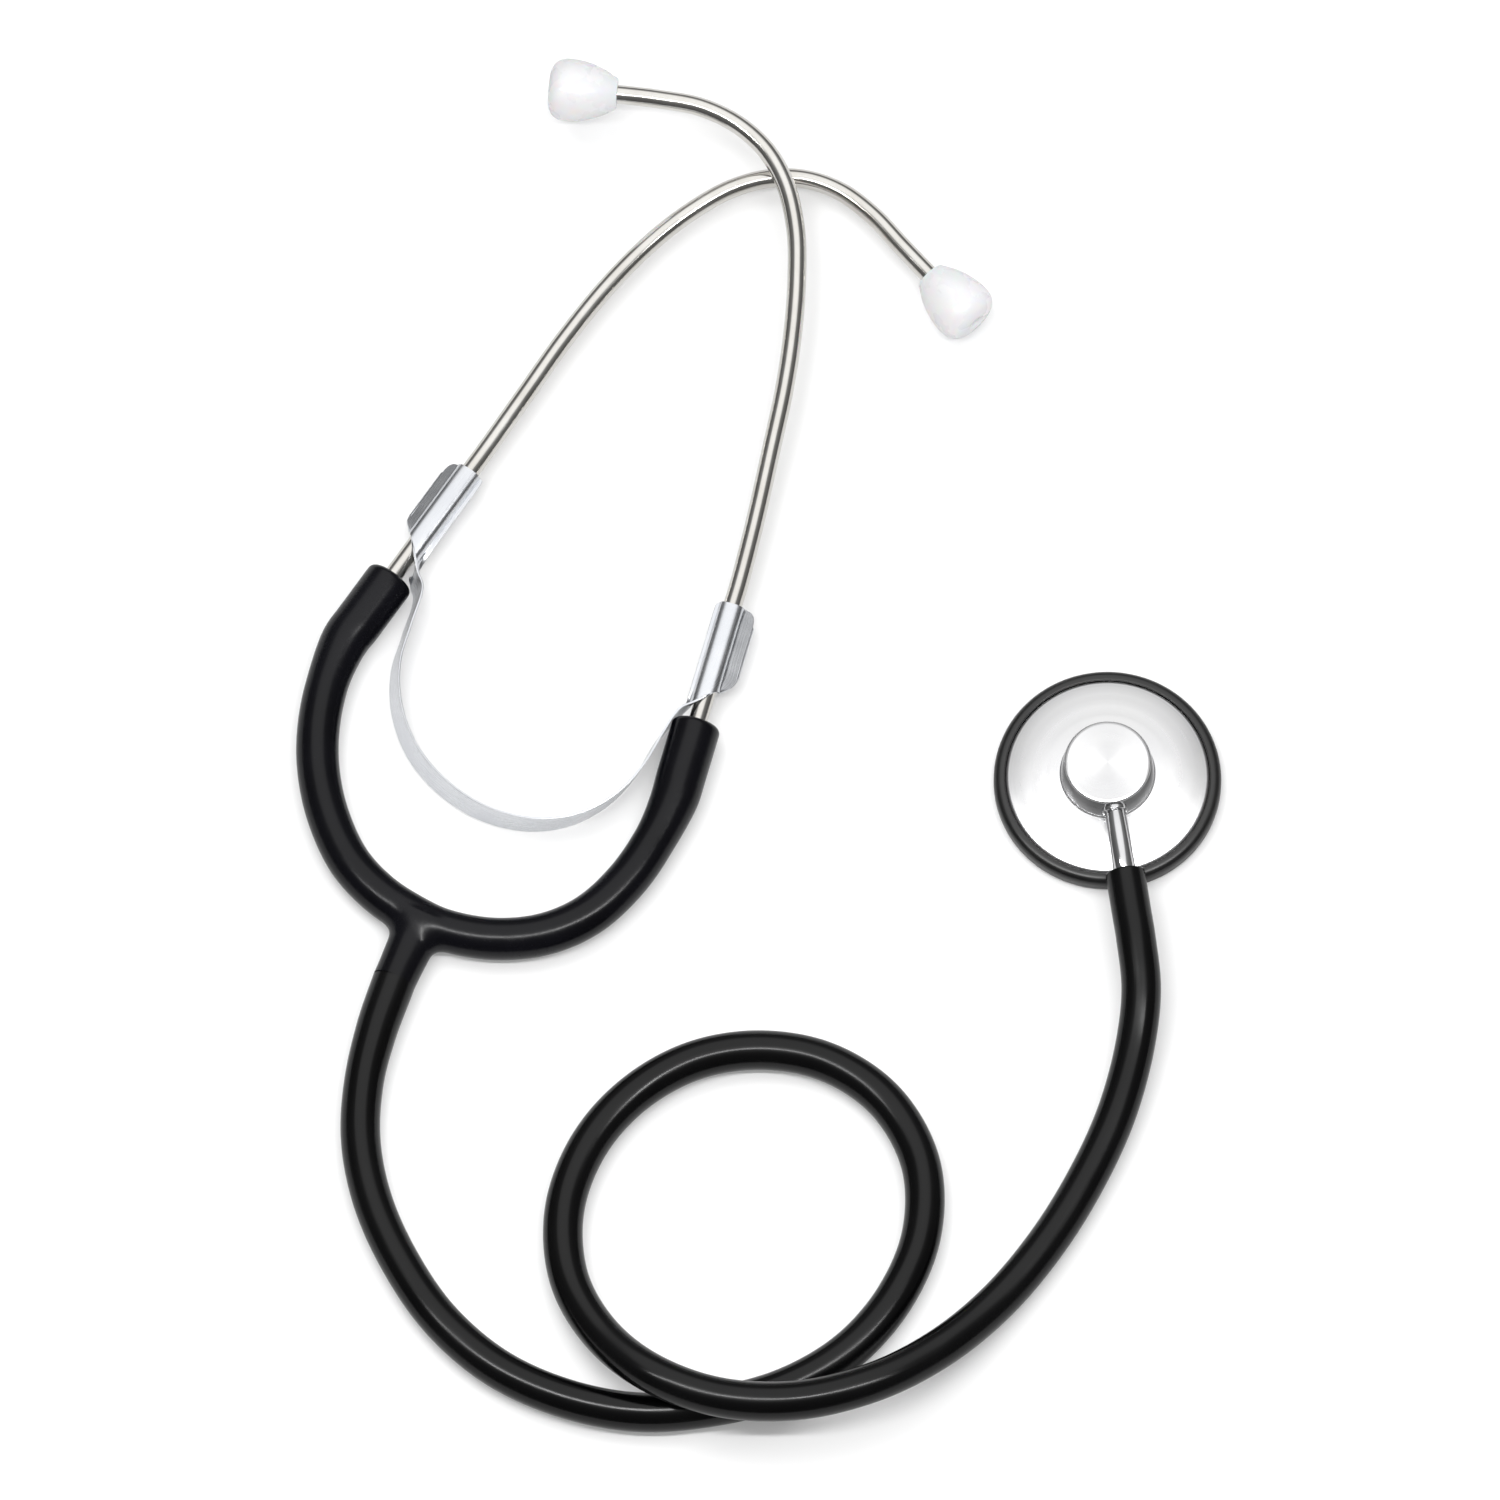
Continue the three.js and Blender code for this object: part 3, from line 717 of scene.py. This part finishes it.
def add_yoke_left():
    """The junction and the left arm in one skin, closed at the tail and where the right arm goes on."""
    shape = bmesh.new()
    shape.from_mesh(junction_mesh())
    centre, direction, _, _ = yoke_line.frames([JUNCTION_START, JUNCTION_END])
    cuts = [(centre[0], -direction[0]), (centre[1], direction[1])]
    tail_centre, tail_direction, _, _ = tail_line.frames([tail_line.length])
    cuts.append((tail_centre[0], tail_direction[0]))
    for place, outward in cuts:
        everything = [*shape.verts, *shape.edges, *shape.faces]
        bmesh.ops.bisect_plane(
            shape, geom=everything, plane_co=place, plane_no=outward, clear_outer=True,
        )

    def rim(place, outward):
        """The open edges that lie in this plane."""
        on_plane, normal = Vector(place), Vector(outward)
        return [
            edge for edge in shape.edges if edge.is_boundary
            and all(abs((vertex.co - on_plane).dot(normal)) < 0.01 * MM for vertex in edge.verts)
        ]

    for place, outward in cuts[1:]:
        bmesh.ops.edgeloop_fill(shape, edges=rim(place, outward))
    known = set(shape.faces)
    arm = swept_mesh("arm", yoke_line, arm_profile(ARM_START), YOKE_SIDES)
    shape.from_mesh(arm)
    shape.verts.ensure_lookup_table()
    arm_start = Vector(yoke_line.frames([ARM_START])[0][0])
    ring = [
        edge for edge in shape.edges
        if edge.is_boundary and known.isdisjoint(edge.link_faces)
        and (edge.verts[0].co - arm_start).length < 2 * YOKE_SLIM
    ]
    bmesh.ops.bridge_loops(shape, edges=rim(*cuts[0]) + ring)
    mesh = bpy.data.meshes.new("yoke_and_left_arm")
    shape.to_mesh(mesh)
    shape.free()
    match_shading(finish_mesh(mesh), cuts[1:])
    yoke = add_object("yoke_and_left_arm", mesh, moulded_vinyl())
    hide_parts("yoke_junction", "yoke_arm_left")
    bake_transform(yoke)


def arm_profile(start):
    """An arm's skin from start to its left end, then back along its bore, as (distance, radius)."""
    wall = [(s, float(yoke_radius(s))) for s in stretch(start, 3 * MM)]
    mouth = rounded([
        (3 * MM, YOKE_THICK, 0), (0, YOKE_THICK, YOKE_END_EDGE), (0, YOKE_BORE, 0.4 * MM),
        (3 * MM, YOKE_BORE, 0),
    ], closed=False)
    return wall[:-1] + mouth + [(12 * MM, YOKE_BORE), (12 * MM, 0)]


def add_yoke_right():
    """The right arm, from the junction on."""
    end = yoke_line.length
    profile = [(end - s, r) for s, r in arm_profile(end - JUNCTION_END)]
    profile.insert(0, (profile[0][0], 0))
    mesh = finish_mesh(swept_mesh("yoke_right_arm", yoke_line, profile, YOKE_SIDES))
    centre, direction, _, _ = yoke_line.frames([JUNCTION_END])
    match_shading(mesh, [(centre[0], direction[0])])
    arm = add_object("yoke_right_arm", mesh, bpy.data.materials["yoke vinyl"])
    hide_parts("yoke_arm_right")
    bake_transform(arm)


add_yoke_left()
add_yoke_right()

# ---------- Ear tubes and ear tips ----------

TUBE_RADIUS = 1.95 * MM
TUBE_BORE = 1.4 * MM
TUBE_INSERTION = 11.5 * MM
TUBE_SIDES = 40
TIP_LENGTH = 14.2 * MM
TIP_NECK = 3.3 * MM
TIP_WIDEST = 6.5 * MM
TIP_WIDEST_AT = 0.72 * TIP_LENGTH
TIP_SOUND_HOLE = 1.2 * MM
TIP_SOCKET = 7 * MM
TIP_SIDES = 96

left_neck, left_pointing = np.array((0.0354, 0.055, 0.0065)), heading(-47.7)
right_neck, right_pointing = np.array((-0.0294, 0.0929, 0.0126)), heading(174.5)


def tube_line(side, bends, neck, pointing):
    """An ear tube's middle line: straight through arm and clip, round its bends, into its ear tip."""
    clip_end = side.clip_start + CLIP_LENGTH
    return Line([
        side.along(-TUBE_INSERTION), side.along(side.clip_start), side.along(clip_end),
        side.along(clip_end + 5 * MM), *bends, tuple(neck), tuple(neck + pointing * 6.7 * MM),
    ])


def add_ear_tube(side, line):
    end = line.length
    wall = [(s, TUBE_RADIUS) for s in stretch(0, end)]
    bore = [(s, TUBE_BORE) for s in stretch(end, 0)]
    mesh = swept_mesh("tube", line, wall + bore, TUBE_SIDES, closed=True)
    name = side.name + "_ear_tube"
    metal = bpy.data.materials.get("nickel tube") or drawn_nickel()
    tube = add_object(name, finish_mesh(mesh), metal)
    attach(tube, side.body)
    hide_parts("ear_tube_" + side.name)


def add_ear_tip(side, neck, pointing):
    """A bell with a rounded face, a sound hole with a softened rim and a socket for the tube."""
    socket = TUBE_RADIUS + 0.08 * MM
    bell = bezier(
        (0.25 * MM, TIP_NECK), (TIP_LENGTH * 0.17, TIP_NECK + 1.5 * MM),
        (TIP_LENGTH * 0.42, TIP_WIDEST), (TIP_WIDEST_AT, TIP_WIDEST), steps=28,
    )
    face = bezier(
        (TIP_WIDEST_AT, TIP_WIDEST), (TIP_LENGTH * 0.94, TIP_WIDEST),
        (TIP_LENGTH, TIP_WIDEST * 0.68), (TIP_LENGTH, TIP_SOUND_HOLE + 1 * MM), steps=28,
    )
    hole = rounded([
        (TIP_LENGTH, TIP_SOUND_HOLE + 1 * MM, 0), (TIP_LENGTH - 0.4 * MM, TIP_SOUND_HOLE, 0.5 * MM),
        (TIP_SOCKET, TIP_SOUND_HOLE, 0.1 * MM), (TIP_SOCKET, socket, 0.1 * MM), (0, socket, 0.25 * MM),
        (0, TIP_NECK, 0.25 * MM), (0.3 * MM, TIP_NECK, 0),
    ], closed=False)
    line = Line([tuple(neck), tuple(neck + pointing * TIP_LENGTH)])
    mesh = swept_mesh("tip", line, bell + face[1:] + hole[1:-1], TIP_SIDES, closed=True)
    plastic = bpy.data.materials.get("white tip") or white_plastic()
    tip = add_object(side.name + "_ear_tip", finish_mesh(mesh), plastic)
    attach(tip, side.name + "_tip")
    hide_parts("ear_tip_" + side.name)


LEFT_BENDS = [
    (-0.0486, 0.0287, 0.0058), (-0.0402, 0.0413, 0.0059), (-0.0312, 0.0531, 0.006),
    (-0.022, 0.0629, 0.006), (-0.014, 0.0695, 0.006), (-0.0058, 0.0744, 0.006),
    (0.0024, 0.0767, 0.0061), (0.01, 0.0764, 0.0062), (0.017, 0.0736, 0.0064),
    (0.0236, 0.0683, 0.0065), (0.0294, 0.0617, 0.0065),
]
RIGHT_BENDS = [
    (-0.001, -0.0003, 0.0073), (0.0024, 0.0155, 0.0081), (0.0053, 0.0295, 0.009),
    (0.007, 0.0414, 0.0098), (0.0078, 0.0529, 0.0104), (0.0076, 0.0634, 0.0109),
    (0.0054, 0.0735, 0.0113), (0.0014, 0.0809, 0.0117), (-0.0046, 0.0865, 0.012),
    (-0.012, 0.0901, 0.0124), (-0.0206, 0.0918, 0.0126),
]
add_ear_tube(left, tube_line(left, LEFT_BENDS, left_neck, left_pointing))
add_ear_tube(right, tube_line(right, RIGHT_BENDS, right_neck, right_pointing))
add_ear_tip(left, left_neck, left_pointing)
add_ear_tip(right, right_neck, right_pointing)

# ---------- Spring: one steel strip, made as two leaves that meet in the middle of its bow ----------

STRIP_THICKNESS = 0.45 * MM
STRIP_COLUMNS = 56
BAND_BOTTOM = 0.8 * MM
BAND_TOP = 8.3 * MM
TOP_EDGE_SHIFT = 0.5 * MM
BOTTOM_EDGE_SHIFT = -1.3 * MM
BULGE_RADIUS = 2.27 * MM
BULGE_WIDTH = 2.5 * MM
BULGE_SQUARENESS = 2.7

BAND_ROUTE = [
    (-0.07, -0.0141), (-0.0724, -0.0226), (-0.0746, -0.0306), (-0.0744, -0.0396), (-0.0711, -0.0491),
    (-0.0646, -0.0571), (-0.0561, -0.0627), (-0.0461, -0.0651), (-0.0371, -0.0637), (-0.0294, -0.0591),
    (-0.0238, -0.0525), (-0.0204, -0.0464),
]
BAND_MIDDLE = 7

# How the strip's two edges run from the band up to the clip, as (along, outward, upward) in mm from
# the clip's lower end. The band's top edge crosses over the tube and becomes the outer flange's edge.
LEFT_TWIST_TOP = [(-5, -4.6, 3.15), (-3, -2.6, 2.9), (-1, -0.6, 2.45), (1, 1.4, 1.6), (2.7, 3.2, 0.4)]
LEFT_TWIST_BOTTOM = [
    (-5.8, -3, -4.2), (-4.2, -3.2, -2.9), (-2.8, -3.4, -1.5), (-1.1, -3.45, -0.7), (0.6, -3.45, -0.2),
]
RIGHT_TWIST_TOP = [(-4.9, -4.1, 2.7), (-2.9, -1.9, 2.6), (-1, 0.1, 2.35), (0.6, 1.8, 1.4), (1.9, 3.5, 0.4)]
RIGHT_TWIST_BOTTOM = [
    (-6.9, -5.6, -4.6), (-5, -4.2, -3.1), (-3.4, -3.4, -1.5), (-1.6, -3.3, -0.5), (0.3, -3.3, -0.1),
]


def flange_edge(reach, corner):
    """A flange's straight edge from the twist to the clip's far end, where its corner is rounded."""
    side = math.copysign(1, reach)
    inset = [(4.4, 0), (9, 0), (13, 0), (20 - 2.2 * corner, 0), (20 - 0.75 * corner, 0.25 * corner),
             (20 - 0.15 * corner, 0.8 * corner), (20, 1.5 * corner)]
    return [(along, reach / MM - side * step, 0) for along, step in inset]


def bulge_over_tube(side, outward, upward):
    """Lifts a cross-section's points onto a half round over the tube, with a small fillet at its foot
    and a slightly drooping outer flange."""
    upward = upward - side.droop * np.clip(outward - BULGE_WIDTH, 0, None)
    share = np.clip(1 - (np.abs(outward) / BULGE_WIDTH) ** BULGE_SQUARENESS, 0, None)
    beyond = np.clip(np.abs(outward) - BULGE_WIDTH, 0, None)
    crown = BULGE_RADIUS * share ** (1 / BULGE_SQUARENESS) - 3 * beyond
    return -smooth_min(-upward, -crown, 0.5 * MM)


def even_columns(section, count):
    """Spreads a cross-section's points evenly along its length."""
    lengths = np.append(0, np.cumsum(np.linalg.norm(np.diff(section, axis=0), axis=1)))
    wanted = np.linspace(0, lengths[-1], count)
    return np.stack([np.interp(wanted, lengths, section[:, k]) for k in range(3)], axis=1)


def solid_strip(name, grid):
    """Gives a sheet of rows and columns its thickness, with softened long edges and closed ends."""
    down_rows = np.gradient(grid, axis=0)
    across = np.gradient(grid, axis=1)
    normal = unit(np.cross(down_rows, across)) * STRIP_THICKNESS / 2
    edge_out = unit(across) * STRIP_THICKNESS / 2
    corner = [(1, 0.2), (0.85, 0.45), (0.6, 0.5), (-0.6, 0.5), (-0.85, 0.45), (-1, 0.2)]
    far_edge = [grid[:, -1] + normal[:, -1] * over + edge_out[:, -1] * out for over, out in corner]
    near_edge = [grid[:, 0] - normal[:, 0] * over - edge_out[:, 0] * out for over, out in corner]
    rings = np.concatenate([
        grid + normal, np.stack(far_edge, axis=1), (grid - normal)[:, ::-1], np.stack(near_edge, axis=1),
    ], axis=1)
    lengths = np.append(0, np.cumsum(np.linalg.norm(np.diff(grid[:, grid.shape[1] // 2], axis=0), axis=1)))
    return skin_mesh(name, rings, lengths, capped=True)


def strip_rows():
    """The whole strip as rows of cross-section points, from the left clip's end to the right one's,
    and the number of the row in the middle of the band."""
    edges = []
    outlines = (
        (LEFT_TWIST_BOTTOM, RIGHT_TWIST_BOTTOM, "flange_inner", 0.4, BOTTOM_EDGE_SHIFT, BAND_BOTTOM),
        (LEFT_TWIST_TOP, RIGHT_TWIST_TOP, "flange_outer", 1.3, TOP_EDGE_SHIFT, BAND_TOP),
    )
    for left_twist, right_twist, flange, corner, shift, level in outlines:
        left_edge = left_twist + flange_edge(getattr(left, flange), corner)
        right_edge = right_twist + flange_edge(getattr(right, flange), corner)
        from_left = [left.clip_point(*(MM * value for value in point)) for point in reversed(left_edge)]
        band = [(x + shift, y, level) for x, y in BAND_ROUTE]
        to_right = [right.clip_point(*(MM * value for value in point)) for point in right_edge]
        edges.append(np.array([*from_left, *band, *to_right]))
    twist_points = len(left_edge)
    gaps = np.linalg.norm(np.diff(edges[1], axis=0), axis=1)
    counts = [max(4, round(gap / (0.4 * MM))) for gap in gaps]
    bottom, top = (catmull_rom(edge, counts) for edge in edges)
    share = np.linspace(0, 1, 400)[None, :, None]
    sheet = bottom[:, None] * (1 - share) + top[:, None] * share
    rows = []
    for row in sheet:
        for side in (left, right):
            offset = row - side.clip_point(0, 0, 0)
            along = offset @ side.axis
            if -6 * MM < along.mean() < CLIP_LENGTH * 1.1:
                outward, upward = offset @ side.outward, offset @ side.upward
                row = row + (bulge_over_tube(side, outward, upward) - upward)[:, None] * side.upward
        rows.append(even_columns(row, STRIP_COLUMNS))
    middle = sum(counts[:twist_points + BAND_MIDDLE])
    return np.array(rows), middle


def backing_rows(side):
    """The strip's end folded back under the tube: a fold at the outer flange, then a half round."""
    fold = 0.26 * MM
    turns = np.linspace(math.pi / 2, -math.pi / 2, 9)
    across = np.linspace(side.flange_outer, side.flange_inner + 0.1 * MM, 300)
    droop = side.droop * np.clip(across - BULGE_WIDTH, 0, None)
    under = -bulge_over_tube(side, across, 2 * fold + 2 * droop)
    outward = np.concatenate([side.flange_outer + fold * np.cos(turns), across[1:]])
    upward = np.concatenate([under[0] + fold + fold * np.sin(turns), under[1:]])
    rows = []
    for along in np.linspace(5.5 * MM, 17 * MM, 30):
        row = np.array([side.clip_point(along, out, up) for out, up in zip(outward, upward)])
        rows.append(even_columns(row, STRIP_COLUMNS))
    return np.array(rows)


def add_spring_leaf(side, rows, band_node):
    """Half the band, its twist, the flat end over the tube and the fold under it."""
    shape = bmesh.new()
    shape.from_mesh(solid_strip("leaf", rows))
    shape.from_mesh(solid_strip("backing", backing_rows(side)))
    mesh = bpy.data.meshes.new("leaf")
    shape.to_mesh(mesh)
    shape.free()
    steel = bpy.data.materials.get("spring steel") or rolled_steel()
    leaf = add_object(side.name + "_spring_leaf", finish_mesh(mesh), steel)
    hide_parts(*band_node, "spring_clip_" + side.name)
    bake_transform(leaf)


all_rows, middle_row = strip_rows()
add_spring_leaf(
    left, all_rows[:middle_row + 1], ["spring_band"],
)
add_spring_leaf(right, all_rows[middle_row:], [])

# ---------- Chest piece ----------

PLATE_RADIUS = 21 * MM
PLATE_EDGE_TOP = 4.4 * MM
SEAT = 1.7 * MM
HUB_BASE = 9.7 * MM
HUB_BASE_HEIGHT = 6.6 * MM
HUB_TOP = 8.7 * MM
HEAD_HEIGHT = 13.4 * MM
RECESS_RADIUS = 19.4 * MM
LATHE_SIDES = 192

chest_axis = Line([(0, 0, 0), (0, 0, HEAD_HEIGHT)], upright=(0, 1, 0))


def add_turned(name, outline, material, body, node, dome=()):
    """A lathe piece about the chest piece's upright axis, from (radius, height, corner radius);
    the points of a dome follow the outline as they are."""
    profile = [(height, radius) for radius, height in [*rounded(outline, closed=False), *dome]]
    mesh = finish_mesh(swept_mesh(name, chest_axis, profile, LATHE_SIDES))
    piece = add_object(name, mesh, material)
    piece.location = (chest_x, chest_y, 0)
    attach(piece, body)
    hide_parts(node)
    return piece


def add_head():
    """Plate and hub in one piece: grooved faces, polished wall with painted edge shade. Returns the object.
    """
    dome = bezier(
        (HUB_BASE + 0.2 * MM, HUB_BASE_HEIGHT), (HUB_BASE + 4 * MM, HUB_BASE_HEIGHT - 0.35 * MM),
        (PLATE_RADIUS - 4 * MM, PLATE_EDGE_TOP + 1.1 * MM), (PLATE_RADIUS - 0.3 * MM, PLATE_EDGE_TOP),
        steps=40,
    )
    head = add_turned("chest_head", [
        (0, HEAD_HEIGHT, 0),
        (HUB_TOP - 0.4 * MM, HEAD_HEIGHT, 0.1 * MM),
        (HUB_TOP + 0.3 * MM, HEAD_HEIGHT - 0.2 * MM, 0.5 * MM),
        (HUB_BASE, HUB_BASE_HEIGHT + 0.8 * MM, 0.2 * MM),
        (HUB_BASE - 0.5 * MM, HUB_BASE_HEIGHT + 0.3 * MM, 0.1 * MM),
        (HUB_BASE - 0.4 * MM, HUB_BASE_HEIGHT - 0.3 * MM, 0.15 * MM),
        (HUB_BASE, HUB_BASE_HEIGHT - 0.3 * MM, 0.1 * MM),
        (HUB_BASE + 0.2 * MM, HUB_BASE_HEIGHT, 0),
    ], turned_metal(), "chest_piece", "chestpiece_body", dome=[
        *dome[1:],
        (PLATE_RADIUS, PLATE_EDGE_TOP - 0.3 * MM),
        (PLATE_RADIUS, SEAT + 0.15 * MM),
        (PLATE_RADIUS - 0.15 * MM, SEAT),
        (RECESS_RADIUS + 0.15 * MM, SEAT),
        (RECESS_RADIUS, SEAT + 0.15 * MM),
        (RECESS_RADIUS, SEAT + 0.35 * MM),
        (0, SEAT + 1.6 * MM),
    ])
    head.data.materials.append(polished_metal("polished hub wall", (0.80, 0.80, 0.81), painted_edge_shade_keep=0.12))
    # the upright wall faces of the hub get the chrome with painted shade darkening its edges
    for face in head.data.polygons:
        upright_wall = abs(face.normal.z) < 0.5 and face.center.z > HUB_BASE_HEIGHT
        if upright_wall and face.center.xy.length > HUB_TOP - 1 * MM:
            face.material_index = 1
    return head


def add_ring():
    add_turned("chest_ring", [
        (18.9 * MM, 0.8 * MM, 0),
        (18.9 * MM, 0, 0.3 * MM),
        (23.5 * MM, 0, 1.3 * MM),
        (23.5 * MM, 4.6 * MM, 1.7 * MM),
        (21.15 * MM, 4.6 * MM, 0.3 * MM),
        (21.15 * MM, 0.8 * MM, 0),
        (18.9 * MM, 0.8 * MM, 0),
    ], ring_plastic(), "diaphragm_ring", "retaining_ring")


def add_diaphragm():
    add_turned("chest_diaphragm", [
        (0, 1.1 * MM, 0),
        (20.9 * MM, 1.1 * MM, 0.1 * MM),
        (20.9 * MM, 1.4 * MM, 0.1 * MM),
        (0, 1.4 * MM, 0),
    ], printed_film(), "diaphragm_ring", "diaphragm")


def add_stem():
    """Hollow chrome spigot from the hub into the hose, with a shoulder where it enters the hub."""
    radius, collar, bore = 2.3 * MM, 2.6 * MM, 1.3 * MM
    waist = radius - 0.35 * MM
    line = Line([tuple(stem_origin), tuple(stem_origin + stem_direction * STEM_TAIL)])
    outline = rounded([
        # Root, collar and the groove beside it.
        (6 * MM, bore, 0), (6 * MM, radius, 0.2 * MM),
        (8.6 * MM, radius, 0), (8.6 * MM, collar, 0.05 * MM), (9.9 * MM, collar, 0.25 * MM),
        (10 * MM, radius - 0.2 * MM, 0), (10.4 * MM, radius, 0),
        # Two barbs, the tail and the bore.
        (24 * MM, radius, 0), (24.5 * MM, waist, 0), (27 * MM, radius, 0.1 * MM),
        (27.5 * MM, waist, 0), (30.5 * MM, radius, 0.1 * MM), (STEM_TAIL, waist, 0.2 * MM),
        (STEM_TAIL, bore, 0.1 * MM), (6 * MM, bore, 0),
    ], closed=False)
    mesh = finish_mesh(swept_mesh("chest_stem", line, outline, 64))
    stem = add_object("chest_stem", mesh, polished_metal("polished chrome", (0.82, 0.82, 0.83)))
    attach(stem, "chest_piece")
    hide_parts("stem")


head = add_head()
add_ring()
add_diaphragm()
add_stem()

# ---------- Table and light ----------


def add_table():
    """A plain white sweep of table, very slightly uneven in tone, with painted shade making it dimmer in what
    mirrors it.
    """
    mesh = bpy.data.meshes.new("table")
    reach = 4
    corners = [(-reach, -reach, 0), (reach, -reach, 0), (reach, reach, 0), (-reach, reach, 0)]
    mesh.from_pydata(corners, [], [(0, 1, 2, 3)])
    look = Finish("white table", (0.9, 0.9, 0.9), 0.6)
    mirrored = look.add("LightPath").outputs["Is Glossy Ray"]
    tone = look.ranged(look.noise(look.place(), 3), 0.89, 0.905)
    # painted shade: the table's colour is dimmed where glossy surfaces reflect it
    shade = look.ranged(mirrored, 1, 0.68, start=0, end=1)
    look.set(look.shader, Base_Color=look.combine(tone, shade, operation="MULTIPLY"))
    table = add_object("table", mesh, look.material)
    return table


def add_softbox(name, direction, distance, width, height, power, only=(), casts_shadow=True):
    """A soft panel facing the middle of the object; it may light a few objects only."""
    light = bpy.data.lights.new(name, "AREA")
    light.shape = "RECTANGLE"
    light.size = width
    light.size_y = height
    light.energy = power
    light.use_shadow = casts_shadow
    box = bpy.data.objects.new(name, light)
    scene.collection.objects.link(box)
    towards = Vector(direction).normalized()
    middle = (cad_low + cad_high) / 2
    box.location = Vector((middle.x, middle.y, 0)) + towards * distance
    box.rotation_euler = (-towards).to_track_quat("-Z", "Y").to_euler()
    if only:
        lit = bpy.data.collections.new(name + " lights")
        for piece in only:
            lit.objects.link(piece)
        box.light_linking.receiver_collection = lit


def add_world():
    """A dark room with one pale canopy, longer than it is wide, over the back of the table."""
    world = bpy.data.worlds.new("studio")
    world.use_nodes = True
    scene.world = world
    nodes, links = world.node_tree.nodes, world.node_tree.links
    direction = nodes.new("ShaderNodeTexCoord")
    widened, levelled, nearness = (nodes.new("ShaderNodeVectorMath") for _ in range(3))
    widened.operation = "MULTIPLY"
    widened.inputs[1].default_value = (1.35, 1, 1)
    levelled.operation = "NORMALIZE"
    nearness.operation = "DOT_PRODUCT"
    nearness.inputs[1].default_value = Vector((0, 0.36, 0.93)).normalized()
    ramp = nodes.new("ShaderNodeValToRGB")
    stops = [(0.0, 0.08), (0.45, 0.12), (0.72, 0.22), (0.84, 0.9), (1.0, 1.0)]
    while len(ramp.color_ramp.elements) < len(stops):
        ramp.color_ramp.elements.new(0.5)
    for element, (position, grey) in zip(ramp.color_ramp.elements, stops):
        element.position = position
        element.color = (grey, grey, grey, 1)
    links.new(direction.outputs["Generated"], widened.inputs[0])
    links.new(widened.outputs["Vector"], levelled.inputs[0])
    links.new(levelled.outputs["Vector"], nearness.inputs[0])
    links.new(nearness.outputs["Value"], ramp.inputs["Fac"])
    links.new(ramp.outputs["Color"], nodes["Background"].inputs["Color"])
    nodes["Background"].inputs["Strength"].default_value = 1.1


table = add_table()
tips = [piece for piece in scene.objects if piece.name.endswith("_ear_tip")]
add_world()
add_softbox("strip", (0.0, -0.2, 0.98), 1.3, 1.6, 0.07, 8.5)
add_softbox("table shade", (-0.33, 0.3, 0.9), 1.3, 0.5, 0.5, 2.2, only=[table])
add_softbox("table wash", (0, 0, 1), 1.8, 2.2, 2.2, 18.5, only=[table], casts_shadow=False)
add_softbox("tip fill", (0.2, -0.2, 0.95), 1.3, 0.5, 0.5, 6, only=tips)
add_softbox("hub fill", (0, -0.36, 0.93), 1.3, 0.6, 0.3, 4, only=[head])
scene.view_settings.view_transform = "Standard"

bpy.context.view_layer.update()
